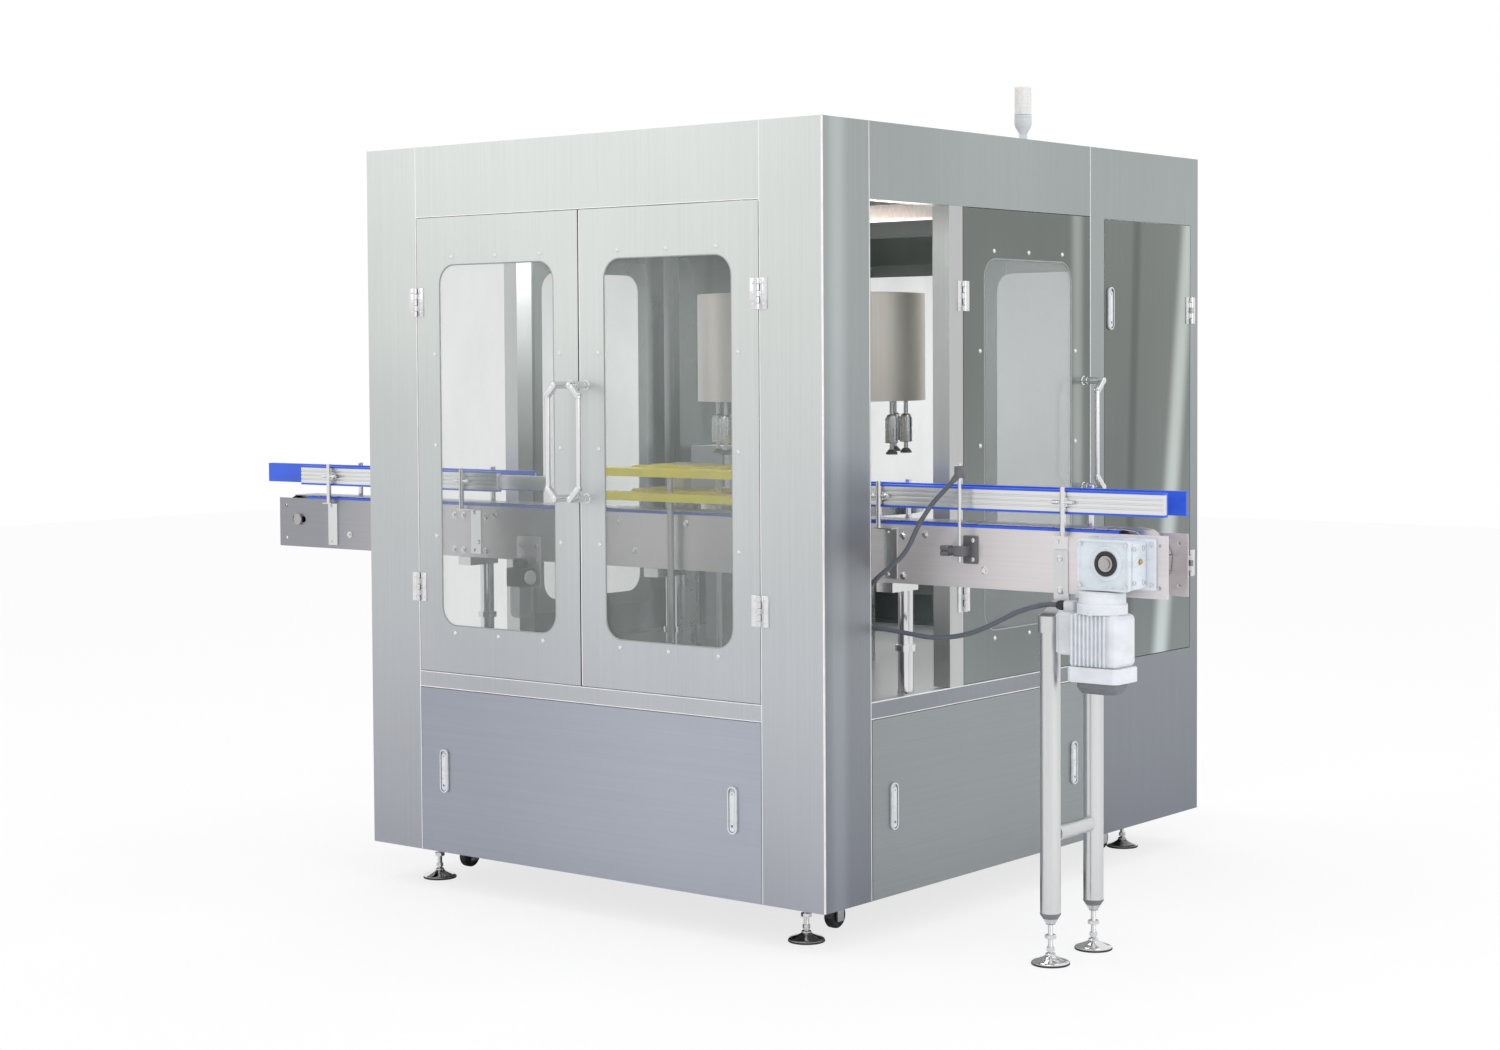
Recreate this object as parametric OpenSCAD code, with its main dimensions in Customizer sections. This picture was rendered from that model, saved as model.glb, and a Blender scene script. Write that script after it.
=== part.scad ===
// Hot melt labelling machine.
// A guarded steel cabinet round a bottle carousel, over a straight slat-chain conveyor.
// X runs along the conveyor, the double doors face -Y, and Z is up from the floor.
// The origin is on the floor, in the middle of the whole footprint.

/* [Cabinet] */
// Width of the cabinet along the conveyor
cab_w = 1600; // [1560:1:1680]
// Depth of the cabinet across the conveyor
cab_d = 1870; // [1830:1:1960]
// Height of the sheet-steel body
cab_h = 1950; // [1900:1:2050]
// Gap between the floor and the body
floor_gap = 105; // [100:1:120]
// Thickness of the covering sheets
skin = 2; // [1.5:0.5:2.5]
// Depth of folded panels and doors
skin_d = 25; // [22:1:28]
// Gap between a moving panel and its neighbours
seam = 2; // [1.5:0.5:3]
// Side of the square frame tubes
tube = 40; // [30:1:42]
// Wall of the frame tubes
tube_wall = 3; // [2:0.5:4]
// Width of a front corner post on the front face
post_front = 195; // [180:1:210]
// Width of a front corner post on the side face
post_side = 199; // [190:1:206]
// Width of the rear section on the side face
rear_bay = 619; // [600:1:640]
// Height of the lower panels
low_h = 455; // [440:1:470]
// Height of the ledge over the lower panels
ledge_h = 44; // [40:1:50]
// Height of the header over the doors
head_h = 194; // [180:1:220]
// Height of the table top from the floor
table_z = 602; // [598:1:604]
// Thickness of the table plate
table_t = 12; // [8:1:15]

/* [Doors] */
// Frame beside a front window
win_side = 86; // [75:1:100]
// Frame above and below a window
win_end = 129; // [110:1:150]
// Corner radius of the windows
win_r = 55; // [30:1:80]
// Thickness of the clear panes
pane_t = 5; // [4:1:8]
// Lap of a pane behind its frame
pane_lap = 38; // [32:1:45]
// Frame beside the side window
side_win_side = 98; // [85:1:110]
// Width of the open bay that bottles pass through
bay_w = 348; // [335:1:365]
// Width of the post between the bay and the side door
mull_w = 63; // [50:1:70]
// Depth of that post
mull_d = 52; // [45:1:60]
// Frame before the narrow door
narrow_lead = 77; // [60:1:90]
// Strip behind the narrow door
narrow_strip = 47; // [45:1:60]
// Foot of the narrow door from the bottom of the body
narrow_low = 492; // [480:1:500]
// Header over the narrow door
narrow_head = 200; // [198:1:240]
// Height of a hinge
hinge_h = 79; // [60:1:100]
// Distance of a hinge from the door's end
hinge_in = 192; // [150:1:250]
// Radius of a hinge barrel
barrel_r = 5.5; // [5:0.1:5.8]
// Reach of a hinge leaf from its barrel
leaf_w = 27; // [20:1:34]

/* [Handles and latches] */
// Distance between a handle's two arms
handle_h = 297; // [240:1:340]
// Height of a handle's lower arm from the door's foot
handle_z = 496; // [440:1:540]
// Reach of a handle from the door
handle_off = 62.5; // [50:0.5:75]
// Radius of a handle's arms
arm_r = 9.5; // [8:0.5:11]
// Radius of a handle's grip
grip_r = 6.5; // [5:0.5:7.5]
// Offset of the grip from the arms
grip_side = 27; // [22:1:34]
// Width of a latch
latch_w = 28; // [24:1:32]
// Height of a latch
latch_h = 120; // [100:1:140]
// Distance of a latch from the panel's edge
latch_edge = 90; // [60:1:120]

/* [Feet] */
// Feet from the sides of the cabinet
foot_side = 145; // [130:1:160]
// Front feet from the front of the cabinet
foot_front = 115; // [105:1:145]
// Back feet from the back of the cabinet
foot_back = 195; // [155:1:235]
// Radius of a foot's disc
foot_r = 47; // [40:1:52]
// Radius of a foot's spindle
spindle_r = 7; // [6:0.5:9]
// Front castors from the front of the cabinet
castor_front = 235; // [220:1:265]
// Back castors from the back of the cabinet
castor_back = 325; // [305:1:375]
// Radius of a castor wheel
castor_r = 32; // [28:1:34]

/* [Conveyor] */
// Middle of the conveyor from the front of the cabinet
conv_in = 379; // [375:1:385]
// Width over the side plates
conv_w = 98; // [94:1:104]
// Thickness of the side plates
plate_t = 3; // [2:0.5:4]
// Foot of the side plates from the floor
conv_z = 895; // [890:1:900]
// Height of the side plates
plate_h = 150; // [148:1:152]
// Top of the chain from the floor
belt_z = 1056; // [1054:1:1058]
// Left end of the side plates from the cabinet's middle
plate_x0 = -1567; // [-1600:1:-1560]
// Right end of the side plates
plate_x1 = 1564; // [1550:1:1600]
// Axle of the idler
idler_x = -1478; // [-1485:1:-1460]
// Axle of the drive
drive_x = 1446; // [1436:1:1452]
// Height of both axles
axle_z = 980; // [976:1:984]
// Thickness of the chain's slats
slat_t = 4; // [3:0.5:4.5]
// Free width between the guide rails
lane_w = 72; // [66:1:78]
// Foot of the guide rails
rail_z = 1088; // [1080:1:1096]
// Height of the guide rails
rail_h = 58; // [50:1:64]
// Thickness of the rail profile
rail_t = 15; // [12:1:17]
// Thickness of the rail's blue liner
liner_t = 5; // [4:1:7]
// Left end of the near rail
near_x0 = -1459; // [-1480:1:-1440]
// Right end of the near rail
near_x1 = 1556; // [1540:1:1580]
// Left end of the far rail
far_x0 = -1716; // [-1740:1:-1690]
// Right end of the far rail
far_x1 = 1564; // [1550:1:1580]
// Leg stand from the cabinet's middle
leg_x = 1272; // [1262:1:1282]
// Leg tubes from the conveyor's middle line
leg_y = 100; // [96:1:110]
// Radius of the leg tubes
leg_r = 25; // [20:1:27]
// Foot of the leg tubes
leg_z0 = 122; // [115:1:130]
// Top of the leg tubes
leg_z1 = 805; // [790:1:815]

/* [Drive] */
// Width of the gearbox
gear_w = 148; // [142:1:156]
// Height of the gearbox
gear_h = 122; // [110:1:130]
// Depth of the gearbox body
gear_d = 76; // [68:1:84]
// Radius of the drive shaft
shaft_r = 12.5; // [10:0.5:15]
// Radius of the gearbox's hollow shaft
quill_r = 19; // [17:0.5:22]
// Width of the motor
motor_w = 132; // [124:1:138]
// Depth of the motor
motor_d = 100; // [94:1:106]
// Height of the motor's finned body
motor_h = 128; // [110:1:140]

/* [Carousel] */
// Bottle stations on the carousel
stations = 12; // [10:1:14]
// Pitch radius of the carousel
turret_r = 270; // [262:1:276]
// Pockets on a star wheel
pockets = 6; // [6:1:6]
// Half the distance between the star wheels
star_off = 180; // [174:1:186]
// Radius of the bottles that it handles
bottle_r = 33; // [30:1:34]
// Radius of the head cover
cover_r = 326; // [320:1:335]
// Foot of the head cover
cover_z = 1347; // [1330:1:1360]
// Height of the head cover
cover_h = 303; // [280:1:320]
// Radius of the carousel's fixed column
column_r = 40; // [35:1:45]
// Foot of the bottle pressers
press_z = 1196; // [1190:1:1210]
// Foot of the lower star plate
star_z = 1082; // [1078:1:1086]
// Thickness of a star or guide plate
yellow_t = 22; // [18:1:25]
// Rise from the lower plate to the upper one
yellow_rise = 66; // [60:1:72]
// Radius of the vacuum drum
drum_r = 110; // [100:1:114]
// Height of the vacuum drum
drum_h = 120; // [100:1:130]
// Radius of the glue roller
roller_r = 55; // [48:1:58]
// Radius of the label roll
reel_r = 190; // [150:1:200]

/* [Signal tower and sensor] */
// Signal tower from the side of the cabinet
tower_side = 90; // [80:1:110]
// Signal tower across the cabinet
tower_y = 109; // [80:1:140]
// Radius of the signal lamp
lamp_r = 24; // [20:1:28]
// Height of the signal lamp
lamp_h = 80; // [60:1:100]
// Sensor rod from the cabinet's middle
sensor_x = 1001; // [990:1:1010]
// Radius of the sensor rod
rod_r = 5; // [4:0.5:5.5]

/* [Hidden] */
$fn = 48;

// Clearances: bolted pieces sit a hair apart, running fits are closer still
seat = 0.3;
run_fit = 0.05;
over = 1;

// Heads of the small dome screws
dome_r = 5.5;
dome_top = 3.5;
dome_h = 4;

// The whole footprint is centred on the origin
cab_x = -(max(near_x1, far_x1, plate_x1) + far_x0) / 2;
front_out = handle_off + arm_r;
cab_y = (front_out - dome_h) / 2;

// Planes and heights of the cabinet
half_w = cab_w / 2;
half_d = cab_d / 2;
cab_top = floor_gap + cab_h;
low_top = floor_gap + low_h;
ledge_z = low_top + seam;
door_z = ledge_z + ledge_h + seam;
head_z = cab_top - head_h;
door_h = head_z - seam - door_z;
front_half = half_w - post_front;
door_w = front_half - 2 * seam;
bay_y0 = -half_d + post_side;
bay_y1 = bay_y0 + bay_w;
rear_y = half_d - rear_bay;
side_door_y = bay_y1 + mull_w + seam;
side_door_w = rear_y - seam - side_door_y;
narrow_y = rear_y + narrow_lead;
narrow_w = rear_bay - narrow_lead - narrow_strip;
narrow_z = floor_gap + narrow_low;
narrow_h = cab_top - narrow_head - narrow_z;

// Frame tubes: uprights stand inside the corners, rings run behind the panels
up_x = half_w - skin - seat - tube;
up_y = half_d - skin - seat - tube;
ring_x = half_w - skin_d - seat;
ring_y = half_d - skin_d - seat;
base_z = floor_gap + skin;
ring_table_z = table_z - table_t - seat - tube;
lintel_z = head_z + skin;
roof_drop = 8;
ring_top_z = cab_top - roof_drop - tube;
skid_w = 60;
nut_r = 15;
nut_h = 22;
foot_cone_h = 22;
foot_rim_h = 6;
foot_neck_r = 12;
spindle_top = base_z + tube / 2;
foot_x = half_w - foot_side;
foot_front_y = half_d - foot_front;
foot_back_y = half_d - foot_back;

// Castor brackets and wheels
castor_z = castor_r + 12;
castor_w = 28;
cheek_t = 4;
cheek_w = 26;
axle_r = 5;
castor_plate_w = 64;
castor_plate_t = 5;
hub_gap = 1;
castor_places = [castor_front - half_d, half_d - castor_back];

// Cable glands on the table: places of the sensor's and the motor's
gland_r = 13;
gland_h = 24;
gland_a = [700, -690];
gland_b = [660, -700];

// Hinges: the axis stands out from the face by this much
hinge_out = 6;
leaf_t = 2.5;
pin_r = 2.5;
knuckle_share = 0.33;
leaf_screw_share = 0.34;
pin_gap = 0.5;
narrow_hinge_in = 212;

// Latches
bezel_t = 6;
bezel_rim = 4;
lever_t = 4;
lever_gap = 0.5;
lever_pin_r = 1.5;
lever_tip = 1.5;
lever_drop = 14;
narrow_latch_in = 31;
narrow_latch_down = 251;

// Conveyor
conv_y = -half_d + conv_in;
plate_top = conv_z + plate_h;
chain_r = belt_z - axle_z;
chain_w = conv_w - 2 * plate_t - 4;
strip_x0 = -1440;
strip_x1 = 1432;
strip_w = 8;
strip_h = belt_z - slat_t - plate_top - 2 * seat;
joint_hole_r = 5;
joint_pitch = 100;
joint_z = 971;
joint_in = 23;
slot_half = 20;
idler_r = 10;
tie_r = 8;
tie_z = 940;
tie_places = [-1250, -700, -100, 500, 1050];
near_gap = [-620, 430];
far_gap = [-560, 430];
rail_y = lane_w / 2 + liner_t;
rib_h = 4;
rib_d = 3;
far_back = 8;
bar_x1 = -430;
bar_t = 12;
bar_h = 40;
bar_up = 9;

// Rail brackets: places along the conveyor, the drop of each strap and the stalk's offset
bracket_x = [-1322, -709, 767, leg_x];
bracket_drop = [130, 130, 130, 33];
bracket_off = [0, -44, -26, 14];
bracket_w = 40;
bracket_t = 3;
bracket_top = 1036;
stalk_r = 7.5;
stalk_gap = 2;
stalk_y = rail_y + rail_t + stalk_r + stalk_gap;
stalk_up = 8;
tab_rim = 2;
clamp_s = 22;
lever_l = 60;
lever_r = 4;

// Support columns under the conveyor
support_side = 48;
support_mid = -34;
support_x = [support_side - half_w, support_mid, half_w - support_side];
support_y = 36;
support_r = 20;
collar_r = 27;
collar_z = 713;
collar_h = 16;
support_foot = 2;
flange_h = 8;
cross_h = 24;
cross_w = 50;

// Leg stand
strap_w = 40;
strap_t = 3;
strap_z0 = 880;
strap_z1 = 1000;
socket_r = 30;
socket_h = 40;
web_t = 4;
tie_bar_z = 315;
tie_bar_r = 19;
leg_tip_r = 11;
leg_tip_h = 24;
leg_bore = 160;
leg_spindle_r = 6.5;

// Gearbox and motor
gear_x = 1437;
gear_z = 976;
flange_t = 8;
flange_lap = 12;
seal_r = 30;
seal_t = 4;
motor_x = 1420;
motor_out = 106;
motor_y = conv_y - motor_out;
motor_top = 862;
motor_corner = 10;
neck_r = 60;
neck_step = 4;
band_h = 36;
band_lap = 4;
band_cut = 12;
fan_in = 10;
fan_corner = 26;
fan_h = 28;
fin_pitch = 11;
fin_gap = 5;
fin_d = 7;
box_w = 44;
box_d = 66;
box_h = 102;
box_top = 860;
box_gap = 0.3;
inlet_w = 30;
inlet_d = 34;
inlet_h = 24;
inlet_r = 11;

// Sensor
sensor_out = 84;
sensor_y = conv_y - sensor_out;
sensor_plate_w = 42;
sensor_plate_h = 70;
sensor_plate_z = 955;
sensor_plate_x = sensor_x - 11;
sensor_plate_t = 6;
block_s = 26;
block_z = 975;
block_tail = 15;
sensor_foot = block_z - block_tail;
knob_core = 9;
knob_lobe = 7;
knob_lobes = 4;
knob_t = 24;
knob_l = 39;
knob_rod = 6;
head_w = 18;
head_d = 26;
head_t = 31;
head_z0 = 1169;
sensor_top = head_z0 + head_t + rod_r;
relief_r = 8;
relief_h = 16;
relief_tilt = 45;
cable_at = [sensor_x - 16, conv_y - 90, head_z0 - 7];

// Carousel
star_r = turret_r * pockets / stations;
pair_r = turret_r + star_r;
star_y = conv_y + star_r;
turret_x = 100;
turret_y = star_y + sqrt(pair_r * pair_r - star_off * star_off);
in_dir = atan2(star_y - turret_y, -star_off);
out_dir = atan2(star_y - turret_y, star_off);
step = 360 / stations;
star_step = 360 / pockets;
disc_rim = 17;
disc_r = turret_r + bottle_r + disc_rim;
disc_t = 26;
pedestal_r = 180;
pedestal_wall = 8;
sleeve_r = 70;
carrier_rim = 20;
carrier_r = disc_r - carrier_rim;
carrier_t = 14;
carrier_z = cover_z + 4;
pad_r = bottle_r;
rod12_r = 6;
cylinder_r = 18;
cylinder_up = 18;
pad_h = 14;
pad_top_r = 9;
press_top = 1480;
press_travel = 40;
cover_t = 3;
star_rim = 8;
hub_r = 26;
pocket_gap = 1;
star_post_r = 45;
star_shaft_r = 20;
socket_depth = 60;

// Guide plates in front of the lane and between the stars
guide_x0 = -300;
guide_x1 = 400;
guide_w = 70;
guide_y = lane_w / 2;
guide_post_r = 9;
guide_posts = [-230, 50, 330];
centre_post = 76;
centre_rim = 2;

// Label unit
drum_z = 1075;
drum_dir = 150;
label_gap = 1;
roller_dir = 100;
roller_z = 1080;
roller_h = 110;
roller_post_r = 32;
roller_shaft_r = 12;
tank_w = 130;
tank_d = 150;
tank_h = 150;
tank_z = 1050;
tank_post = 60;
tank_gap = 3;
reel_x = -520;
reel_y = 650;
reel_z = 1088;
reel_h = 90;
reel_plate_r = 200;
reel_plate_t = 4;
reel_post_r = 36;
reel_shaft_r = 15;
reel_nut_r = 30;
reel_nut_h = 26;
cutter_x = -470;
cutter_y = 215;
cutter_w = 120;
cutter_h = 150;
guide_roll_r = 14;
guide_rolls = [[-290, 640], [-560, 410], [-395, 330]];

// Air regulator on the conveyor's near plate
air_x = -498;
air_w = 92;
air_plate_z = 880;
air_plate_h = 84;
air_plate_t = 4;
air_body = 62;
air_body_h = 62;
air_y = 38;
bowl_r = 30;
bowl_h = 84;
gauge_r = 20;
gauge_t = 12;

// Lamp under the roof
light_x0 = -400;
light_x1 = 600;
light_y = 0;
light_drop = 155;
light_z = ring_top_z - light_drop;
light_h = 46;
light_w = 46;
hanger_r = 6;
hanger_x = [-300, 500];

// Signal tower
tower_x = half_w - tower_side;
pole_r = 11;
pole_h = 24;
tower_base_r = 25;
tower_base_h = 52;
tower_foot_r = 30;
tower_foot_h = 5;

// Free cables: centre-line points from the cabinet's own middle, and the outer radius
cable_r = 6;
cable_sides = 10;
cable_ring = 22;
sensor_route = [[984.7, -646, 1161.7], [972, -647, 1149], [956, -651, 1132], [935, -657, 1109],
    [917, -663, 1083], [901, -669, 1056], [888, -675, 1027], [875, -682, 996], [857, -687, 971],
    [833, -691, 950], [781, -696, 908], [744, -697, 866], [719, -695, 810], [705, -691, 740],
    [700, -690, 680], [700, -690, 626]];
motor_route = [[1292, -655, 872], [1268, -656, 872], [1236, -659, 866], [1186, -665, 850],
    [1122, -672, 818], [1060, -677, 792], [997, -683, 778], [941, -688, 775], [881, -694, 781],
    [803, -700, 788], [750, -704, 782], [708, -706, 752], [678, -704, 712], [663, -701, 670],
    [660, -700, 626]];

module placed() {
    translate([cab_x, cab_y, 0]) children();
}

// Local frames of the faces: x along the face, y into the cabinet, z up
module on_front_left(z) {
    translate([-front_half + seam, -half_d, z]) children();
}

module on_front_right(z) {
    mirror([1, 0, 0]) on_front_left(z) children();
}

module on_front(x, z) {
    translate([x, -half_d, z]) children();
}

module on_right(y, z) {
    translate([half_w, y, z]) rotate([0, 0, 90]) children();
}

module on_left(y, z) {
    mirror([1, 0, 0]) on_right(y, z) children();
}

// Basic forms
module frame_tube(at, length, run) {
    outer = [for (i = [0:2]) i == run ? length : tube];
    inner = [for (i = [0:2]) i == run ? length + 2 * over : tube - 2 * tube_wall];
    start = [for (i = [0:2]) i == run ? -over : tube_wall];
    translate(at) difference() {
        cube(outer);
        translate(start) cube(inner);
    }
}

module frame_ring(z) {
    for (s = [0, 1]) {
        mirror([0, s, 0]) frame_tube([-up_x + seat, ring_y - tube, z], 2 * (up_x - seat), 0);
        mirror([s, 0, 0]) frame_tube([ring_x - tube, -ring_y + tube + seat, z],
            2 * (ring_y - tube - seat), 1);
    }
}

module pan(w, h) {
    difference() {
        cube([w, skin_d, h]);
        translate([skin, skin, skin]) cube([w - 2 * skin, skin_d, h - 2 * skin]);
    }
}

module rounded(w, h, r) {
    translate([r, 0]) square([w - 2 * r, h]);
    translate([0, r]) square([w, h - 2 * r]);
    for (x = [r, w - r], y = [r, h - r]) translate([x, y]) circle(r);
}

// A rounded sheet standing in the XZ plane, y from 0 to t
module upright_sheet(w, h, r, t) {
    translate([0, t, 0]) rotate([90, 0, 0]) linear_extrude(t) rounded(w, h, r);
}

module windowed_pan(w, h, side) {
    difference() {
        pan(w, h);
        translate([side, -over, win_end])
            upright_sheet(w - 2 * side, h - 2 * win_end, win_r, skin + 2 * over);
    }
}

module pane(w, h, side) {
    lap = min(pane_lap, side - skin - over, win_end - skin - over);
    translate([side - lap, skin, win_end - lap])
        cube([w - 2 * (side - lap), pane_t, h - 2 * (win_end - lap)]);
}

module dome() {
    rotate([90, 0, 0]) cylinder(h = dome_h, r1 = dome_r, r2 = dome_top);
}

// Dome screws round a window, on the outer face
module window_screws(w, h, side) {
    out = pane_lap / 2;
    inset = win_r - dome_r;
    for (z = [win_end - out, h - win_end + out], x = [side + inset, w / 2, w - side - inset])
        translate([x, 0, z]) dome();
    for (x = [side - out, w - side + out], k = [-1, 0, 1])
        translate([x, 0, h / 2 + k * h / 5]) dome();
}

// Hinge about the Z axis: the face lies at y = hinge_out, the post at -x and the door at +x
module leaf(moving) {
    side = moving ? 1 : -1;
    near = barrel_r + seat;
    for (s = [side]) {
        translate([s > 0 ? near : -leaf_w, hinge_out - leaf_t, 0])
            cube([leaf_w - near, leaf_t, hinge_h]);
        for (k = [-1, 0, 1]) translate([s * (near + leaf_w) / 2, hinge_out - leaf_t,
            hinge_h / 2 + k * leaf_screw_share * hinge_h])
            rotate([90, 0, 0]) cylinder(h = leaf_t / 2, r1 = dome_top, r2 = dome_top / 2);
    }
}

module knuckle(z, h, side) {
    translate([0, 0, z]) cylinder(h = h, r = barrel_r);
    translate([side > 0 ? 0 : -barrel_r - over, hinge_out - leaf_t, z])
        cube([barrel_r + over, leaf_t - pin_gap, h]);
}

module hinge_fixed() {
    mid = knuckle_share * hinge_h;
    leaf(false);
    knuckle(0, mid, -1);
    knuckle(hinge_h - mid, mid, -1);
    cylinder(h = hinge_h, r = pin_r);
}

module hinge_moving() {
    mid = knuckle_share * hinge_h + pin_gap;
    leaf(true);
    difference() {
        knuckle(mid, hinge_h - 2 * mid, 1);
        translate([0, 0, mid - over]) cylinder(h = hinge_h, r = pin_r + run_fit);
    }
}

// Places of the hinges, in the local frame of the door's face
module at_front_hinges(h, inset) {
    for (z = [inset, h - inset - hinge_h]) translate([-seam / 2, -hinge_out, z]) children();
}

// C-shaped pull handle: the arms stand at x = 0 and the grip is off to -x
module handle() {
    slope = grip_side;
    for (k = [0, 1]) translate([0, 0, k * handle_h]) {
        rotate([90, 0, 0]) cylinder(h = handle_off + arm_r, r = arm_r);
        translate([0, -handle_off, 0]) rotate([0, -45 - k * 90, 0])
            cylinder(h = slope * sqrt(2), r = grip_r + over);
    }
    translate([-grip_side, -handle_off, slope]) cylinder(h = handle_h - 2 * slope, r = grip_r);
    for (z = [slope, handle_h - slope]) translate([-grip_side, -handle_off, z]) sphere(arm_r - over);
}

// Flush latch: a rim on the panel and a lever that swings out from its top pin
module capsule(w, h, t) {
    upright_sheet(w, h, w / 2 - seat / 2, t);
}

module latch_rim() {
    hole_w = latch_w - 2 * bezel_rim;
    hole_h = latch_h - 2 * bezel_rim;
    pin_z = latch_h - lever_drop;
    translate([-latch_w / 2, -seat - bezel_t, 0]) difference() {
        capsule(latch_w, latch_h, bezel_t);
        translate([bezel_rim, -over, bezel_rim]) capsule(hole_w, hole_h, bezel_t + 2 * over);
        translate([-over, bezel_t / 2, pin_z]) rotate([0, 90, 0])
            cylinder(h = latch_w + 2 * over, r = lever_pin_r + run_fit);
    }
}

module latch_lever() {
    hole_w = latch_w - 2 * bezel_rim;
    pin_z = latch_h - lever_drop;
    lever_w = hole_w - 2 * lever_gap;
    translate([-lever_w / 2, -seat - bezel_t / 2 - lever_t / 2, 0]) difference() {
        translate([0, 0, bezel_rim + lever_gap])
            capsule(lever_w, latch_h - 2 * (bezel_rim + lever_gap), lever_t);
        translate([-over, -over, pin_z + lever_tip]) cube([latch_w, latch_w, latch_h]);
    }
    translate([-latch_w / 2 + seat, -seat - bezel_t / 2, pin_z]) rotate([0, 90, 0])
        cylinder(h = latch_w - 2 * seat, r = lever_pin_r);
}

module at_latches(w) {
    for (x = [latch_edge, w - latch_edge]) translate([x, 0, (low_h - latch_h) / 2]) children();
}

// Base: rings, skids with threaded nuts, cross beams, castor brackets and the table
module skid() {
    run = 2 * (ring_y - tube - seat);
    difference() {
        union() {
            translate([foot_x - skid_w / 2, -run / 2, base_z]) difference() {
                cube([skid_w, run, tube]);
                translate([tube_wall, -over, tube_wall])
                    cube([skid_w - 2 * tube_wall, run + 2 * over, tube - 2 * tube_wall]);
            }
            for (y = [-foot_front_y, foot_back_y]) translate([foot_x, y, base_z - nut_h])
                cylinder(h = nut_h + tube_wall, r = nut_r);
        }
        for (y = [-foot_front_y, foot_back_y]) translate([foot_x, y, base_z - nut_h - over])
            cylinder(h = nut_h + tube_wall + 2 * over, r = spindle_r + run_fit);
    }
}

module castor_bracket() {
    inner = castor_w + 2 * hub_gap;
    top = base_z - seat;
    translate([-castor_plate_w / 2, -castor_plate_w / 2, top - castor_plate_t])
        cube([castor_plate_w, castor_plate_w, castor_plate_t]);
    for (s = [0, 1]) mirror([s, 0, 0]) translate([inner / 2, -cheek_w / 2, castor_z - cheek_w / 2])
        cube([cheek_t, cheek_w, top - castor_plate_t - castor_z + cheek_w / 2]);
    translate([-inner / 2 - cheek_t, 0, castor_z]) rotate([0, 90, 0])
        cylinder(h = inner + 2 * cheek_t, r = axle_r);
}

module castor_wheel() {
    difference() {
        translate([-castor_w / 2, 0, castor_z]) rotate([0, 90, 0])
            cylinder(h = castor_w, r = castor_r);
        translate([-castor_w, 0, castor_z]) rotate([0, 90, 0])
            cylinder(h = 2 * castor_w, r = axle_r + run_fit);
    }
}

module base_frame() {
    beam = 2 * (foot_x - skid_w / 2 - seat);
    color("silver") placed() {
        frame_ring(base_z);
        frame_ring(ring_table_z);
        for (s = [0, 1]) {
            mirror([s, 0, 0]) skid();
            frame_tube([-beam / 2, castor_places[s] - tube / 2, base_z], beam, 0);
        }
        for (x = [-foot_x, foot_x], y = castor_places) translate([x, y, 0]) castor_bracket();
        translate([-ring_x, -up_y + seat, table_z - table_t])
            cube([2 * ring_x, 2 * (up_y - seat), table_t]);
        for (g = [gland_a, gland_b]) translate([g[0], g[1], table_z + seat])
            cylinder(h = gland_h - seat, r = gland_r);
    }
}

module cabinet_frame() {
    mull_z = door_z - seam + seat;
    color("silver") placed() {
        for (sx = [0, 1], sy = [0, 1]) mirror([sx, 0, 0]) mirror([0, sy, 0])
            frame_tube([up_x, up_y, base_z], ring_top_z + tube - base_z, 2);
        frame_ring(lintel_z);
        frame_ring(ring_top_z);
        for (s = [0, 1]) mirror([s, 0, 0]) translate([half_w - mull_d, bay_y1, mull_z])
            difference() {
                cube([mull_d, mull_w, head_z - seat - mull_z]);
                translate([tube_wall, tube_wall, -over])
                    cube([mull_d - 2 * tube_wall, mull_w - 2 * tube_wall, cab_h]);
            }
    }
}

// Folded corner cover from its outer corner: a runs along x and b along y
module corner_cover(a, b) {
    linear_extrude(cab_h) {
        square([a, skin]);
        square([skin, b]);
        translate([a - skin, 0]) square([skin, skin_d]);
        translate([0, b - skin]) square([skin_d, skin]);
    }
}

module corner_posts() {
    color("lightgray") placed() for (s = [0, 1]) mirror([s, 0, 0]) {
        translate([half_w, -half_d, floor_gap]) mirror([1, 0, 0])
            corner_cover(post_front, post_side);
        difference() {
            translate([half_w, half_d, floor_gap]) mirror([1, 0, 0]) mirror([0, 1, 0])
                corner_cover(post_front, rear_bay);
            translate([half_w - skin - over, narrow_y - seam, narrow_z - seam])
                cube([skin + 2 * over, narrow_w + 2 * seam, narrow_h + 2 * seam]);
        }
    }
}

module header_panels() {
    w = 2 * (front_half - seat);
    run = rear_y - bay_y0 - 2 * seat;
    color("lightgray") placed() for (s = [0, 1]) {
        mirror([0, s, 0]) on_front(-w / 2, head_z) pan(w, head_h);
        mirror([s, 0, 0]) on_right(bay_y0 + seat, head_z) pan(run, head_h);
    }
}

module roof_panel() {
    w = half_w - skin - seat;
    d = half_d - skin - seat;
    color("silver") placed() difference() {
        translate([-w, -d, ring_top_z + tube + seat]) cube([2 * w, 2 * d, skin]);
        // The panels' upper folds reach in over the frame, so the roof stops short of them
        for (s = [0, 1]) {
            mirror([0, s, 0]) translate([-front_half, -half_d, ring_top_z])
                cube([2 * front_half, skin_d + seat, cab_h]);
            mirror([s, 0, 0]) translate([half_w - skin_d - seat, bay_y0, ring_top_z])
                cube([skin_d + seat, rear_y - bay_y0, cab_h]);
        }
        for (sx = [0, 1], f = [-half_d + post_side, rear_y]) mirror([sx, 0, 0])
            translate([half_w - skin_d - seat, f - skin_d / 2, ring_top_z])
                cube([skin_d + seat, skin_d, cab_h]);
        for (sx = [0, 1], sy = [0, 1]) mirror([sx, 0, 0]) mirror([0, sy, 0])
            translate([front_half - skin_d / 2, -half_d, ring_top_z])
                cube([skin_d, skin_d + seat, cab_h]);
    }
}

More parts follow.
